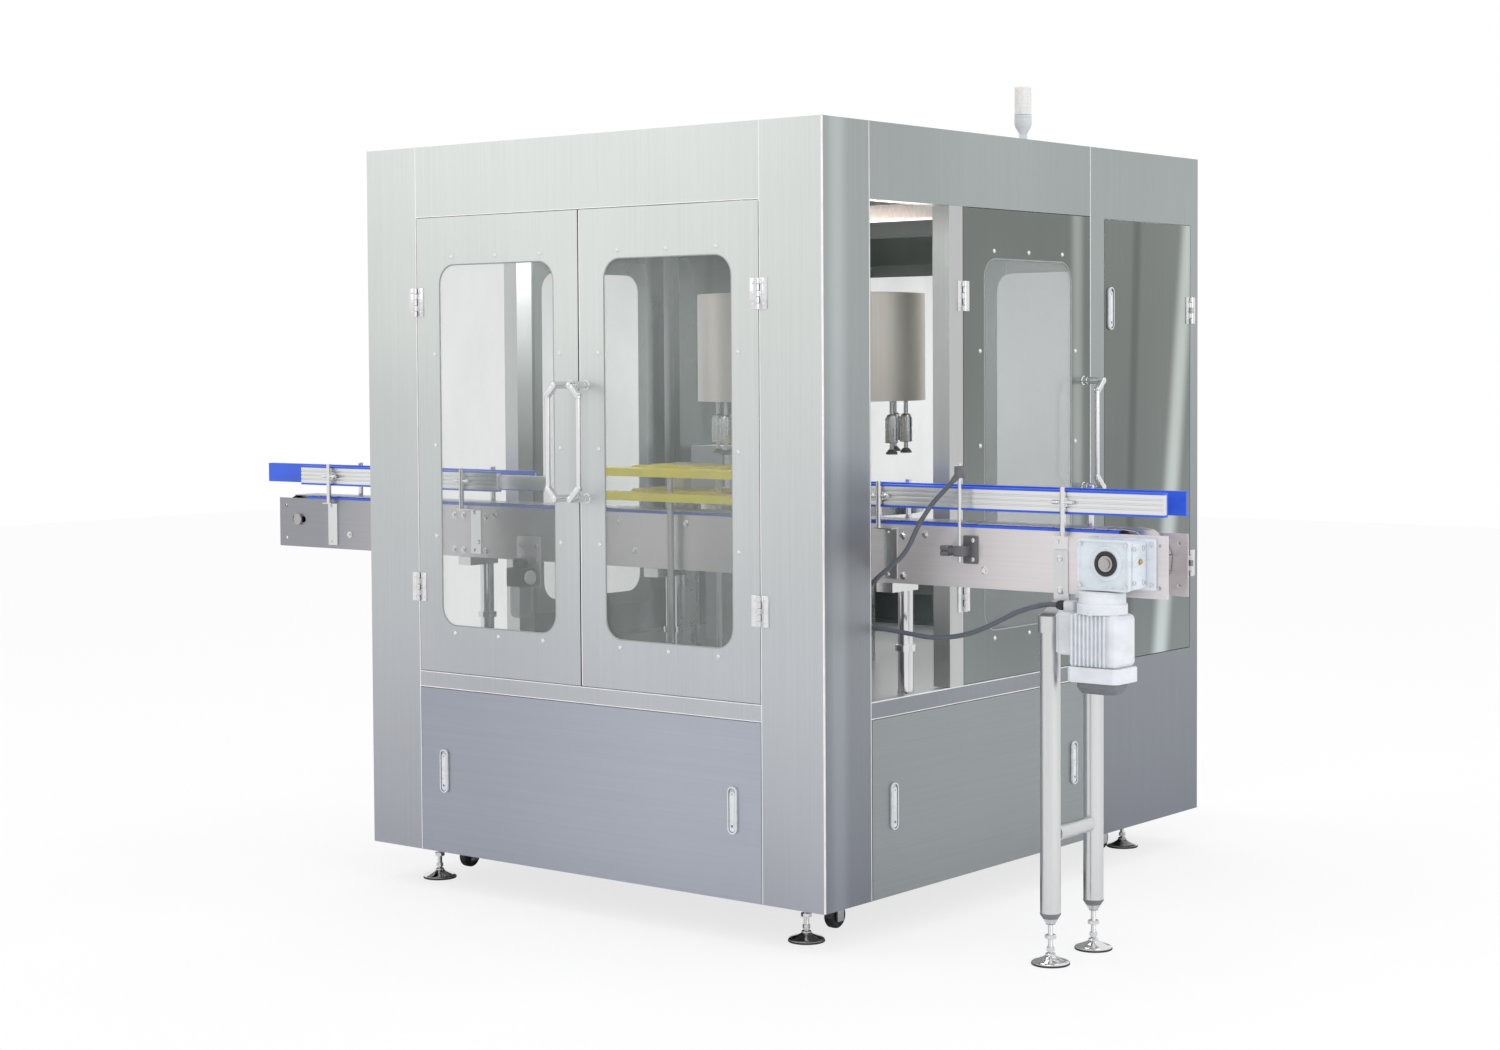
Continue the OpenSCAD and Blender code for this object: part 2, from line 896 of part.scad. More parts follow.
module sill_ledges() {
    w = 2 * (front_half - seat);
    run = rear_y - bay_y0 - 2 * seat;
    color("lightgray") placed() for (s = [0, 1]) {
        mirror([0, s, 0]) on_front(-w / 2, ledge_z) pan(w, ledge_h);
        mirror([s, 0, 0]) on_right(bay_y0 + seat, ledge_z) pan(run, ledge_h);
    }
}

// Fixed leaves of the back and the left side: bolted in, so they fill their openings
fix_z = door_z - seam + seat;
fix_h = door_h + 2 * (seam - seat);
fix_w = front_half - 3 * seat / 2;
fix_side_w = side_door_w + 2 * (seam - seat);

module at_back_leaves() {
    for (s = [0, 1]) mirror([0, 1, 0]) mirror([s, 0, 0])
        translate([-front_half + seat, -half_d, fix_z]) children();
}

module fixed_panels() {
    low_w = 2 * (front_half - seat);
    low_run = rear_y - bay_y0 - 2 * seat;
    color("lightgray") placed() {
        at_back_leaves() {
            windowed_pan(fix_w, fix_h, win_side);
            window_screws(fix_w, fix_h, win_side);
        }
        on_left(side_door_y - seam + seat, fix_z) windowed_pan(fix_side_w, fix_h, side_win_side);
        on_left(narrow_y - seam + seat, narrow_z - seam + seat)
            pan(narrow_w + 2 * (seam - seat), narrow_h + 2 * (seam - seat));
        mirror([0, 1, 0]) on_front(-low_w / 2, floor_gap) pan(low_w, low_h + seam - seat);
        on_left(bay_y0 + seat, floor_gap) pan(low_run, low_h + seam - seat);
    }
}

module fixed_windows() {
    color("lightblue", 0.4) placed() {
        at_back_leaves() pane(fix_w, fix_h, win_side);
        on_left(side_door_y - seam + seat, fix_z) pane(fix_side_w, fix_h, side_win_side);
    }
}

module hinge_leaves() {
    color("silver") placed() {
        on_front_left(door_z) at_front_hinges(door_h, hinge_in) hinge_fixed();
        on_front_right(door_z) at_front_hinges(door_h, hinge_in) hinge_fixed();
        on_right(side_door_y, door_z) at_front_hinges(door_h, hinge_in) hinge_fixed();
        on_right(narrow_y + narrow_w, narrow_z) mirror([1, 0, 0])
            at_front_hinges(narrow_h, narrow_hinge_in) hinge_fixed();
    }
}

// Front doors
module front_left_door() {
    color("lightgray") placed() on_front_left(door_z) windowed_pan(door_w, door_h, win_side);
}

module front_left_window() {
    color("lightblue", 0.4) placed() on_front_left(door_z) pane(door_w, door_h, win_side);
}

module door_fittings(w, h, side, edge) {
    at_front_hinges(h, hinge_in) hinge_moving();
    window_screws(w, h, side);
    translate([w - edge, 0, handle_z]) handle();
}

front_handle_edge = 25;
side_handle_edge = 38;

module front_left_fittings() {
    color("silver") placed() on_front_left(door_z)
        door_fittings(door_w, door_h, win_side, front_handle_edge);
}

module front_right_door() {
    color("lightgray") placed() on_front_right(door_z) windowed_pan(door_w, door_h, win_side);
}

module front_right_window() {
    color("lightblue", 0.4) placed() on_front_right(door_z) pane(door_w, door_h, win_side);
}

module front_right_fittings() {
    color("silver") placed() on_front_right(door_z)
        door_fittings(door_w, door_h, win_side, front_handle_edge);
}

// Side doors
module right_door() {
    color("lightgray") placed() on_right(side_door_y, door_z)
        windowed_pan(side_door_w, door_h, side_win_side);
}

module right_window() {
    color("lightblue", 0.4) placed() on_right(side_door_y, door_z)
        pane(side_door_w, door_h, side_win_side);
}

module right_fittings() {
    color("silver") placed() on_right(side_door_y, door_z)
        door_fittings(side_door_w, door_h, side_win_side, side_handle_edge);
}

module narrow_door() {
    color("lightgray") placed() {
        on_right(narrow_y, narrow_z) {
            pan(narrow_w, narrow_h);
            translate([narrow_latch_in, 0, narrow_h - narrow_latch_down - latch_h / 2]) latch_rim();
        }
        on_right(narrow_y + narrow_w, narrow_z) mirror([1, 0, 0])
            at_front_hinges(narrow_h, narrow_hinge_in) hinge_moving();
    }
}

module narrow_latch() {
    color("whitesmoke") placed() on_right(narrow_y, narrow_z)
        translate([narrow_latch_in, 0, narrow_h - narrow_latch_down - latch_h / 2]) latch_lever();
}

// Lower panels lift off when their latches are opened
low_w = 2 * (front_half - seam);
low_run = rear_y - bay_y0 - 2 * seam;

module front_lower_panel() {
    color("lightgray") placed() on_front(-low_w / 2, floor_gap) {
        pan(low_w, low_h);
        at_latches(low_w) latch_rim();
    }
}

module front_latches() {
    color("whitesmoke") placed() on_front(-low_w / 2, floor_gap) at_latches(low_w) latch_lever();
}

module right_lower_panel() {
    color("lightgray") placed() on_right(bay_y0 + seam, floor_gap) {
        pan(low_run, low_h);
        at_latches(low_run) latch_rim();
    }
}

module right_latches() {
    color("whitesmoke") placed() on_right(bay_y0 + seam, floor_gap)
        at_latches(low_run) latch_lever();
}

// Feet: a rimmed cone on a spindle
module foot(r, top) {
    cylinder(h = foot_rim_h, r = foot_r);
    translate([0, 0, foot_rim_h]) cylinder(h = foot_cone_h - foot_rim_h, r1 = foot_r, r2 = foot_neck_r);
    cylinder(h = top, r = r);
}

module foot_front_left() {
    color("silver") placed() translate([-foot_x, -foot_front_y, 0]) foot(spindle_r, spindle_top);
}

module foot_front_right() {
    color("silver") placed() translate([foot_x, -foot_front_y, 0]) foot(spindle_r, spindle_top);
}

module foot_back_left() {
    color("silver") placed() translate([-foot_x, foot_back_y, 0]) foot(spindle_r, spindle_top);
}

module foot_back_right() {
    color("silver") placed() translate([foot_x, foot_back_y, 0]) foot(spindle_r, spindle_top);
}

module leg_feet() {
    color("silver") placed() for (s = [-1, 1]) translate([leg_x, conv_y + s * leg_y, 0])
        foot(leg_spindle_r, leg_bore - foot_cone_h / 2);
}

module front_castor_wheels() {
    color("dimgray") placed() for (s = [-1, 1])
        translate([s * foot_x, castor_places[0], 0]) castor_wheel();
}

module rear_castor_wheels() {
    color("dimgray") placed() for (s = [-1, 1])
        translate([s * foot_x, castor_places[1], 0]) castor_wheel();
}

// Conveyor pieces are drawn about its middle line: y = 0 there, the near side at -y
module along_conveyor() {
    placed() translate([0, conv_y, 0]) children();
}

// A rod along y from y0 to y1
module cross_rod(x, z, r, y0, y1) {
    translate([x, y0, z]) rotate([-90, 0, 0]) cylinder(h = y1 - y0, r = r);
}

module conveyor_side_plates() {
    inner = conv_w / 2 - plate_t;
    ends = [plate_x0 + joint_in + slot_gap_left, plate_x1 - joint_in];
    color("silver") along_conveyor() {
        difference() {
            for (s = [0, 1]) mirror([0, s, 0]) translate([plate_x0, inner, conv_z])
                cube([plate_x1 - plate_x0, plate_t, plate_h]);
            for (x = ends, k = [-1, 1])
                cross_rod(x, joint_z + k * joint_pitch / 2, joint_hole_r, -conv_w, conv_w);
            cross_rod(drive_x, axle_z, shaft_r + run_fit, -conv_w, conv_w);
            for (k = [-1, 1])
                cross_rod(idler_x + k * slot_half, axle_z, idler_r + run_fit, -conv_w, conv_w);
            translate([idler_x - slot_half, -conv_w, axle_z - idler_r - run_fit])
                cube([2 * slot_half, 2 * conv_w, 2 * (idler_r + run_fit)]);
        }
        for (x = tie_places) cross_rod(x, tie_z, tie_r, -inner + seat, inner - seat);
    }
}
slot_gap_left = 7;

module loop_outline(r) {
    translate([idler_x, axle_z]) circle(r, $fn = 96);
    translate([drive_x, axle_z]) circle(r, $fn = 96);
    translate([idler_x, axle_z - r]) square([drive_x - idler_x, 2 * r]);
}

module conveyor_chain() {
    color("gray") along_conveyor() translate([0, chain_w / 2, 0]) rotate([90, 0, 0])
        linear_extrude(chain_w) difference() {
            loop_outline(chain_r);
            loop_outline(chain_r - slat_t);
        }
}

// Rails: [x0, x1, side] with side -1 near and 1 far
rail_runs = [[near_x0, near_gap[0], -1], [near_gap[1], near_x1, -1],
    [far_x0, far_gap[0], 1], [far_gap[1], far_x1, 1]];

module along_x(x0, x1) {
    translate([x0, 0, 0]) rotate([90, 0, 90]) linear_extrude(x1 - x0) children();
}

module wear_strips() {
    color("royalblue") along_conveyor() {
        for (s = [0, 1]) mirror([0, s, 0])
            translate([strip_x0, conv_w / 2 - strip_w + over, plate_top + seat])
                cube([strip_x1 - strip_x0, strip_w, strip_h]);
        for (r = rail_runs) mirror([0, r[2] > 0 ? 0 : 1, 0]) along_x(r[0], r[1])
            translate([lane_w / 2, rail_z]) difference() {
                square([liner_t + rail_t, rail_h]);
                translate([liner_t, liner_t]) square([rail_t + over, rail_h - 2 * liner_t]);
            }
    }
}

module guide_rails() {
    web_h = rail_h - 2 * (liner_t + seat);
    color("gainsboro") along_conveyor() {
        for (r = rail_runs) mirror([0, r[2] > 0 ? 0 : 1, 0])
            along_x(r[0], r[1] - (r[2] > 0 ? far_back : 0))
                translate([rail_y + seat, rail_z + liner_t + seat]) difference() {
                    square([rail_t - seat, web_h]);
                    for (k = [1, 2]) translate([rail_t - seat - rib_d, k * web_h / 3 - rib_h / 2])
                        square([rib_d + over, rib_h]);
                }
        translate([near_gap[0] + seat, -lane_w / 2 - bar_t, rail_z + bar_up])
            cube([bar_x1 - near_gap[0] - seat, bar_t, bar_h]);
    }
}

// One bracket: a strap on the side plate, its tab, and a stalk on the tab beside the rail
module rail_bracket(drop, off) {
    half = conv_w / 2;
    out = stalk_y + stalk_r + tab_rim;
    mid = rail_z + rail_h / 2;
    tab_0 = min(-bracket_w / 2, off - stalk_r - tab_rim);
    tab_1 = max(bracket_w / 2, off + stalk_r + tab_rim);
    translate([-bracket_w / 2, half, bracket_top - drop]) cube([bracket_w, bracket_t, drop]);
    translate([tab_0, half, bracket_top - bracket_t])
        cube([tab_1 - tab_0, out - half, bracket_t]);
    for (z = drop > 2 * clamp_s ? [bracket_top - drop + clamp_s / 2, bracket_top - clamp_s / 2]
        : [bracket_top - drop / 2])
        cross_rod(-bracket_w / 4, z, dome_r, half, half + bracket_t + dome_h);
    translate([off, stalk_y, bracket_top - over])
        cylinder(h = rail_z + rail_h + stalk_up - bracket_top + over, r = stalk_r);
    translate([off - clamp_s / 2, rail_y + rail_t + seat, mid - clamp_s / 2])
        cube([clamp_s, stalk_y - rail_y - rail_t, clamp_s]);
    translate([off - lever_l / 2, stalk_y, mid]) rotate([0, 90, 0])
        cylinder(h = lever_l, r = lever_r);
}

module rail_brackets() {
    color("silver") along_conveyor() for (s = [0, 1], i = [0:len(bracket_x) - 1])
        mirror([0, s, 0]) translate([bracket_x[i], 0, 0])
            rail_bracket(bracket_drop[i], bracket_off[i]);
}

module support_columns() {
    top = conv_z - seat;
    inner = conv_w + 2 * flange_h;
    color("silver") along_conveyor() for (x = support_x) translate([x, support_y, 0]) {
        translate([0, 0, table_z + seat]) cylinder(h = flange_h, r = support_r + support_foot);
        translate([0, 0, table_z + seat]) cylinder(h = top - cross_h - table_z, r = support_r);
        translate([0, 0, collar_z]) cylinder(h = collar_h, r = collar_r);
        translate([-cross_w / 2, -support_y - inner / 2, top - cross_h])
            cube([cross_w, inner, cross_h]);
    }
}

// Half of the leg stand on the far side: strap, flared web and socket in one, then the tube
module leg_side() {
    half = conv_w / 2;
    sock_z = leg_z1 + seat;
    sock_top = sock_z + socket_h;
    translate([-strap_w / 2, 0, 0]) along_x(0, strap_w) polygon([
        [half, strap_z1], [half + strap_t, strap_z1], [half + strap_t, strap_z0],
        [leg_y + socket_r / 2, sock_top], [leg_y + socket_r / 2, sock_top - web_t],
        [leg_y - socket_r / 2, sock_top - web_t], [half, strap_z0 - web_t]]);
    translate([0, leg_y, sock_z]) cylinder(h = socket_h, r = socket_r);
    for (z = [strap_z0 + clamp_s, strap_z1 - clamp_s])
        cross_rod(0, z, dome_r + over, half, half + strap_t + dome_h);
    translate([0, leg_y, 0]) difference() {
        union() {
            translate([0, 0, leg_z0]) cylinder(h = leg_z1 - leg_z0, r = leg_r);
            translate([0, 0, leg_z0 - leg_tip_h]) cylinder(h = leg_tip_h, r1 = leg_tip_r, r2 = leg_r);
        }
        cylinder(h = leg_bore, r = leg_spindle_r + run_fit);
    }
}

module leg_stand() {
    gap = leg_y - leg_r - seat;
    color("silver") along_conveyor() translate([leg_x, 0, 0]) {
        for (s = [0, 1]) mirror([0, s, 0]) leg_side();
        cross_rod(0, tie_bar_z, tie_bar_r, -gap, gap);
    }
}

// Drive shaft with its sprocket and the gearbox's hollow shaft
gear_back = conv_w / 2 + seat;
gear_front = gear_back + flange_t + gear_d;

module drive_sprocket() {
    end = gear_front + seal_t + flange_t / 2;
    color("dimgray") along_conveyor() {
        cross_rod(drive_x, axle_z, shaft_r, -end, conv_w / 2 + flange_t / 2);
        cross_rod(drive_x, axle_z, quill_r, -gear_front - seal_t, -gear_back - seat);
        cross_rod(drive_x, axle_z, chain_r - slat_t - seat, -chain_w / 4, chain_w / 4);
    }
}

module idler_sprocket() {
    color("dimgray") along_conveyor() {
        cross_rod(idler_x, axle_z, idler_r, -conv_w / 2 - flange_t, conv_w / 2 + flange_t);
        cross_rod(idler_x, axle_z, chain_r - slat_t - seat, -chain_w / 4, chain_w / 4);
        for (s = [0, 1]) mirror([0, s, 0])
            translate([idler_x, conv_w / 2 + seat, axle_z]) rotate([-90, 0, 0])
                cylinder(h = flange_t, r = 2 * idler_r - over, $fn = 6);
    }
}

module drive_gearbox() {
    color("gainsboro") along_conveyor() difference() {
        union() {
            translate([gear_x - gear_w / 2 - flange_lap, -gear_back - flange_t, gear_z - gear_h / 2])
                cube([gear_w + 3 * flange_lap, flange_t, gear_h]);
            translate([gear_x - gear_w / 2, -gear_front, gear_z - gear_h / 2])
                cube([gear_w, gear_d + over, gear_h]);
            cross_rod(drive_x, axle_z, seal_r, -gear_front - seal_t, -gear_front + over);
            for (x = [-1, 1], z = [-1, 1])
                cross_rod(gear_x + x * (gear_w / 2 - flange_lap), gear_z + z * (gear_h / 2 - flange_lap),
                    dome_r, -gear_front - dome_h, -gear_front);
            for (z = [-1, 1]) cross_rod(gear_x + gear_w / 2 + flange_lap,
                gear_z + z * (gear_h / 2 - flange_lap), dome_r, -gear_back - flange_t - dome_h,
                -gear_back - flange_t);
        }
        cross_rod(drive_x, axle_z, quill_r + run_fit, -2 * gear_front, 0);
    }
}

module drive_motor() {
    neck_z = motor_top;
    neck_top = gear_z - gear_h / 2 - seat;
    body_z = motor_top - motor_h;
    grooves = floor((motor_w / 2 - fin_pitch) / fin_pitch);
    side_grooves = floor((motor_d / 2 - fin_pitch) / fin_pitch);
    color("gainsboro") placed() translate([motor_x, motor_y, 0]) {
        translate([0, 0, neck_z]) cylinder(h = neck_top - neck_z, r = neck_r - neck_step);
        translate([0, 0, neck_z]) cylinder(h = (neck_top - neck_z) / 2, r = neck_r);
        difference() {
            translate([-motor_w / 2, -motor_d / 2, body_z]) linear_extrude(motor_h)
                rounded(motor_w, motor_d, motor_corner);
            for (i = [-grooves:grooves], s = [-1, 1])
                translate([i * fin_pitch - fin_gap / 2, s > 0 ? motor_d / 2 - fin_d : -motor_d / 2 - over,
                    body_z - over])
                    cube([fin_gap, fin_d + over, motor_h - fin_pitch]);
            for (i = [-side_grooves:side_grooves], s = [-1, 1])
                translate([s > 0 ? motor_w / 2 - fin_d : -motor_w / 2 - over,
                    i * fin_pitch - fin_gap / 2, body_z - over])
                    cube([fin_d + over, fin_gap, motor_h - fin_pitch]);
        }
        translate([0, 0, body_z - band_h]) linear_extrude(band_h) intersection() {
            square([motor_w + 2 * band_lap, motor_d + 2 * band_lap], center = true);
            rotate(45) square(sqrt(2) * ((motor_w + motor_d) / 2 + 2 * band_lap - band_cut),
                center = true);
        }
        translate([fan_in - motor_w / 2, fan_in - motor_d / 2, body_z - band_h - fan_h])
            linear_extrude(fan_h) rounded(motor_w - 2 * fan_in, motor_d - 2 * fan_in, fan_corner);
    }
}

module terminal_box() {
    x1 = motor_x - motor_w / 2 - box_gap;
    color("whitesmoke") placed() {
        translate([x1 - box_w, motor_y - box_d / 2, box_top - box_h]) cube([box_w, box_d, box_h]);
        translate([x1 - box_w / 2 - inlet_w / 2, motor_route[0][1] - inlet_d / 2, box_top + seat])
            cube([inlet_w, inlet_d, inlet_h]);
        translate([motor_route[0][0], motor_route[0][1], motor_route[0][2]]) rotate([0, 90, 0])
            cylinder(h = x1 - box_w / 2 - motor_route[0][0], r = inlet_r);
    }
}

// Sensor rod in its cross clamp, and the sensor at the top
module sensor_stand() {
    face = conv_y - conv_w / 2;
    color("darkslategray") placed() {
        translate([sensor_plate_x, face - sensor_plate_t, sensor_plate_z])
            cube([sensor_plate_w, sensor_plate_t, sensor_plate_h]);
        for (z = [sensor_plate_z + clamp_s / 2, sensor_plate_z + sensor_plate_h - clamp_s / 2])
            cross_rod(sensor_plate_x + sensor_plate_w - clamp_s / 2, z, dome_r + over,
                face - sensor_plate_t - dome_h, face);
        translate([sensor_x - block_s / 2, sensor_y - block_s / 2, block_z])
            cube([block_s, face - sensor_plate_t - sensor_y + block_s / 2 + over, block_s]);
        translate([sensor_x - block_s / 2 - knob_l, sensor_y, block_z + block_s / 2])
            rotate([0, 90, 0]) {
                cylinder(h = knob_l + over, r = knob_rod);
                cylinder(h = knob_t, r = knob_core);
                for (k = [1:knob_lobes]) rotate(360 * (k + 1 / 2) / knob_lobes)
                    translate([knob_core, 0, 0]) cylinder(h = knob_t, r = knob_lobe);
            }
        translate([sensor_x, sensor_y, sensor_foot])
            cylinder(h = sensor_top - sensor_foot, r = rod_r);
        translate([sensor_x - head_w / 2, sensor_y - head_d / 2, head_z0])
            cube([head_w, head_d, head_t]);
        translate(cable_at) rotate([0, relief_tilt, 0]) cylinder(h = relief_h, r = relief_r);
    }
}

// A free cable: one tube swept along its route
function spline(a, b, c, d, t) = 0.5 * (2 * b + (c - a) * t + (2 * a - 5 * b + 4 * c - d) * t * t
    + (3 * b - a - 3 * c + d) * t * t * t);
function pick(p, i) = p[max(0, min(len(p) - 1, i))];
function trail(p) = [for (i = [0:len(p) - 2])
    let (n = max(1, round(norm(p[i + 1] - p[i]) / cable_ring)))
    for (k = [0:n - 1]) spline(pick(p, i - 1), p[i], p[i + 1], pick(p, i + 2), k / n),
    p[len(p) - 1]];
function unit(v) = v / norm(v);
function heading(q, i) = i == 0 ? unit(q[1] - q[0]) :
    i == len(q) - 1 ? unit(q[i] - q[i - 1]) : unit(q[i + 1] - q[i - 1]);
function carried(q, i) = i == 0 ? unit(cross(heading(q, 0), [0, 1, 0])) :
    let (u = carried(q, i - 1), t = heading(q, i)) unit(u - (u * t) * t);

module swept_cable(route) {
    q = trail(route);
    rings = len(q);
    points = [for (i = [0:rings - 1])
        let (t = heading(q, i), u = carried(q, i), v = cross(t, u))
        for (k = [0:cable_sides - 1]) q[i] + cable_r * (cos(360 * k / cable_sides) * u
            + sin(360 * k / cable_sides) * v)];
    walls = [for (i = [0:rings - 2], k = [0:cable_sides - 1])
        let (a = i * cable_sides + k, b = i * cable_sides + (k + 1) % cable_sides)
        each [[a, a + cable_sides, b], [b, a + cable_sides, b + cable_sides]]];
    first = [for (k = [0:cable_sides - 1]) k];
    last = [for (k = [cable_sides - 1:-1:0]) (rings - 1) * cable_sides + k];
    polyhedron(points, concat(walls, [first, last]), convexity = 8);
}

module sensor_cable() {
    color("dimgray") placed() swept_cable(sensor_route);
}

module motor_cable() {
    color("dimgray") placed() swept_cable(motor_route);
}

// Carousel pieces are drawn about the carousel's own axis
module at_turret() {
    placed() translate([turret_x, turret_y, 0]) children();
}

module stand_post(at, r, shaft, top) {
    translate([at[0], at[1], table_z + seat]) difference() {
        cylinder(h = top - table_z - seat, r = r);
        translate([0, 0, top - table_z - seat - socket_depth])
            cylinder(h = socket_depth + over, r = shaft + run_fit);
    }
}

in_star = [turret_x - star_off, star_y];
out_star = [turret_x + star_off, star_y];
disc_z = belt_z - disc_t;
hub_z = star_z - flange_h;

module carousel_column() {
    color("silver") {
        at_turret() {
            translate([0, 0, table_z + seat]) difference() {
                cylinder(h = disc_z - 2 * seat - table_z, r = pedestal_r);
                translate([0, 0, -over])
                    cylinder(h = disc_z - table_z - disc_t, r = pedestal_r - pedestal_wall);
            }
            translate([0, 0, disc_z - over])
                cylinder(h = cover_z + cover_h - cover_t - seat - disc_z + over, r = column_r);
        }
        placed() for (c = [in_star, out_star])
            stand_post(c, star_post_r, star_shaft_r, hub_z - seat);
    }
}

module head_cover() {
    color("lightgray") at_turret() {
        translate([0, 0, cover_z + cover_h - cover_t]) cylinder(h = cover_t, r = cover_r, $fn = 96);
        translate([0, 0, cover_z]) difference() {
            cylinder(h = cover_h - cover_t - seat, r = cover_r, $fn = 96);
            translate([0, 0, -over]) cylinder(h = cover_h, r = cover_r - cover_t, $fn = 96);
        }
    }
}

// Turn so that a station lies towards the infeed star
module at_stations() {
    for (k = [0:stations - 1]) rotate(in_dir + k * step) translate([turret_r, 0, 0]) children();
}

module turret() {
    color("silver") at_turret() {
        translate([0, 0, disc_z]) difference() {
            cylinder(h = disc_t, r = disc_r, $fn = 96);
            translate([0, 0, -over]) cylinder(h = disc_t + 2 * over, r = column_r + run_fit);
        }
        translate([0, 0, belt_z + seat]) difference() {
            cylinder(h = carrier_z - belt_z - 2 * seat, r = sleeve_r);
            translate([0, 0, -over]) cylinder(h = cab_h, r = column_r + run_fit);
        }
        translate([0, 0, carrier_z]) difference() {
            cylinder(h = carrier_t, r = carrier_r, $fn = 96);
            translate([0, 0, -over]) cylinder(h = carrier_t + 2 * over, r = column_r + run_fit);
            translate([0, 0, -over]) at_stations()
                cylinder(h = carrier_t + 2 * over, r = rod12_r + run_fit);
        }
    }
}

module bottle_pressers() {
    cyl_z = press_z + pad_h + cylinder_up;
    color("gainsboro") at_turret() at_stations() {
        translate([0, 0, press_z + pad_h]) cylinder(h = press_top - press_z - pad_h, r = rod12_r);
        translate([0, 0, press_z]) cylinder(h = pad_h, r1 = pad_r / 2, r2 = pad_top_r);
        translate([0, 0, cyl_z]) cylinder(h = carrier_z - press_travel - cyl_z - over, r = cylinder_r);
    }
}

// Star wheel with its pockets; the first pocket lies at the given angle
module star(at, angle) {
    placed() translate([at[0], at[1], 0]) {
        for (z = [star_z, star_z + yellow_rise]) translate([0, 0, z]) linear_extrude(yellow_t)
            difference() {
                circle(star_r + star_rim, $fn = 96);
                for (k = [0:pockets - 1]) rotate(angle + k * star_step)
                    translate([star_r, 0]) circle(bottle_r + pocket_gap);
            }
        translate([0, 0, hub_z]) cylinder(h = yellow_rise + flange_h + over, r = hub_r);
        translate([0, 0, hub_z - socket_depth + over]) cylinder(h = socket_depth, r = star_shaft_r);
        translate([0, 0, star_z + yellow_rise + yellow_t - over])
            cylinder(h = flange_h + over, r = hub_r);
    }
}

// The outfeed star is in step: it is turned by twice the angle left to the next station
out_lag = out_dir - in_dir - round((out_dir - in_dir) / step) * step;

module infeed_star() {
    color("gold") star(in_star, in_dir + 180);
}

module outfeed_star() {
    color("gold") star(out_star, out_dir + 180 + out_lag * stations / pockets);
}

module guide_post(x, y) {
    translate([x, y, table_z + seat])
        cylinder(h = star_z + yellow_rise + over - table_z - seat, r = guide_post_r);
}

module guide_plates() {
    color("gold") placed() {
        for (z = [star_z, star_z + yellow_rise]) {
            translate([guide_x0, conv_y - guide_y - guide_w, z])
                cube([guide_x1 - guide_x0, guide_w, yellow_t]);
            translate([0, 0, z]) linear_extrude(yellow_t) difference() {
                translate([in_star[0], conv_y + guide_y])
                    square([2 * star_off, star_y - conv_y - guide_y]);
                for (c = [in_star, out_star]) translate(c)
                    circle(star_r + bottle_r + centre_rim, $fn = 96);
            }
        }
        for (x = guide_posts) guide_post(x, conv_y - guide_y - guide_w / 2);
        guide_post(turret_x, conv_y + centre_post);
    }
}

// Label unit: drum and roller posts, glue tank, cutter, reel post and guide rollers
drum_at = [turret_x + (turret_r + bottle_r + drum_r + label_gap) * cos(drum_dir),
    turret_y + (turret_r + bottle_r + drum_r + label_gap) * sin(drum_dir)];
roller_at = [drum_at[0] + (drum_r + roller_r + label_gap) * cos(roller_dir),
    drum_at[1] + (drum_r + roller_r + label_gap) * sin(roller_dir)];

module label_unit() {
    tank_y = roller_at[1] + roller_r + tank_gap;
    color("silver") placed() {
        stand_post(drum_at, star_post_r, star_shaft_r, drum_z - seat);
        stand_post(roller_at, roller_post_r, roller_shaft_r, roller_z - seat);
        stand_post([reel_x, reel_y], reel_post_r, reel_shaft_r, reel_z - reel_plate_t - seat);
        translate([roller_at[0] - tank_w / 2, tank_y, tank_z]) cube([tank_w, tank_d, tank_h]);
        translate([roller_at[0] - tank_post / 2, tank_y + tank_post / 2, table_z + seat])
            cube([tank_post, tank_post, tank_z - seat - table_z]);
        translate([cutter_x - cutter_w / 2, cutter_y - cutter_w / 2, tank_z])
            cube([cutter_w, cutter_w, cutter_h]);
        translate([cutter_x - tank_post / 2, cutter_y - tank_post / 2, table_z + seat])
            cube([tank_post, tank_post, tank_z - seat - table_z]);
        for (g = guide_rolls) translate([g[0], g[1], table_z + seat])
            cylinder(h = reel_z + reel_h - table_z, r = guide_roll_r);
    }
}

module vacuum_drum() {
    color("dimgray") placed() translate([drum_at[0], drum_at[1], 0]) {
        translate([0, 0, drum_z]) cylinder(h = drum_h, r = drum_r, $fn = 96);
        translate([0, 0, drum_z - socket_depth + over]) cylinder(h = socket_depth, r = star_shaft_r);
        translate([0, 0, drum_z + drum_h]) cylinder(h = flange_h, r = hub_r);
    }
}

module glue_roller() {
    color("goldenrod") placed() translate([roller_at[0], roller_at[1], 0]) {
        translate([0, 0, roller_z]) cylinder(h = roller_h, r = roller_r);
        translate([0, 0, roller_z - socket_depth + over])
            cylinder(h = socket_depth, r = roller_shaft_r);
        translate([0, 0, roller_z + roller_h]) cylinder(h = flange_h, r = roller_shaft_r);
    }
}

module label_reel() {
    color("lightsteelblue") placed() translate([reel_x, reel_y, 0]) {
        translate([0, 0, reel_z - reel_plate_t]) cylinder(h = reel_plate_t, r = reel_plate_r, $fn = 96);
        translate([0, 0, reel_z]) cylinder(h = reel_h, r = reel_r, $fn = 96);
        translate([0, 0, reel_z - reel_plate_t - socket_depth + over])
            cylinder(h = socket_depth, r = reel_shaft_r);
        translate([0, 0, reel_z + reel_h]) cylinder(h = reel_nut_h, r = reel_nut_r);
    }
}

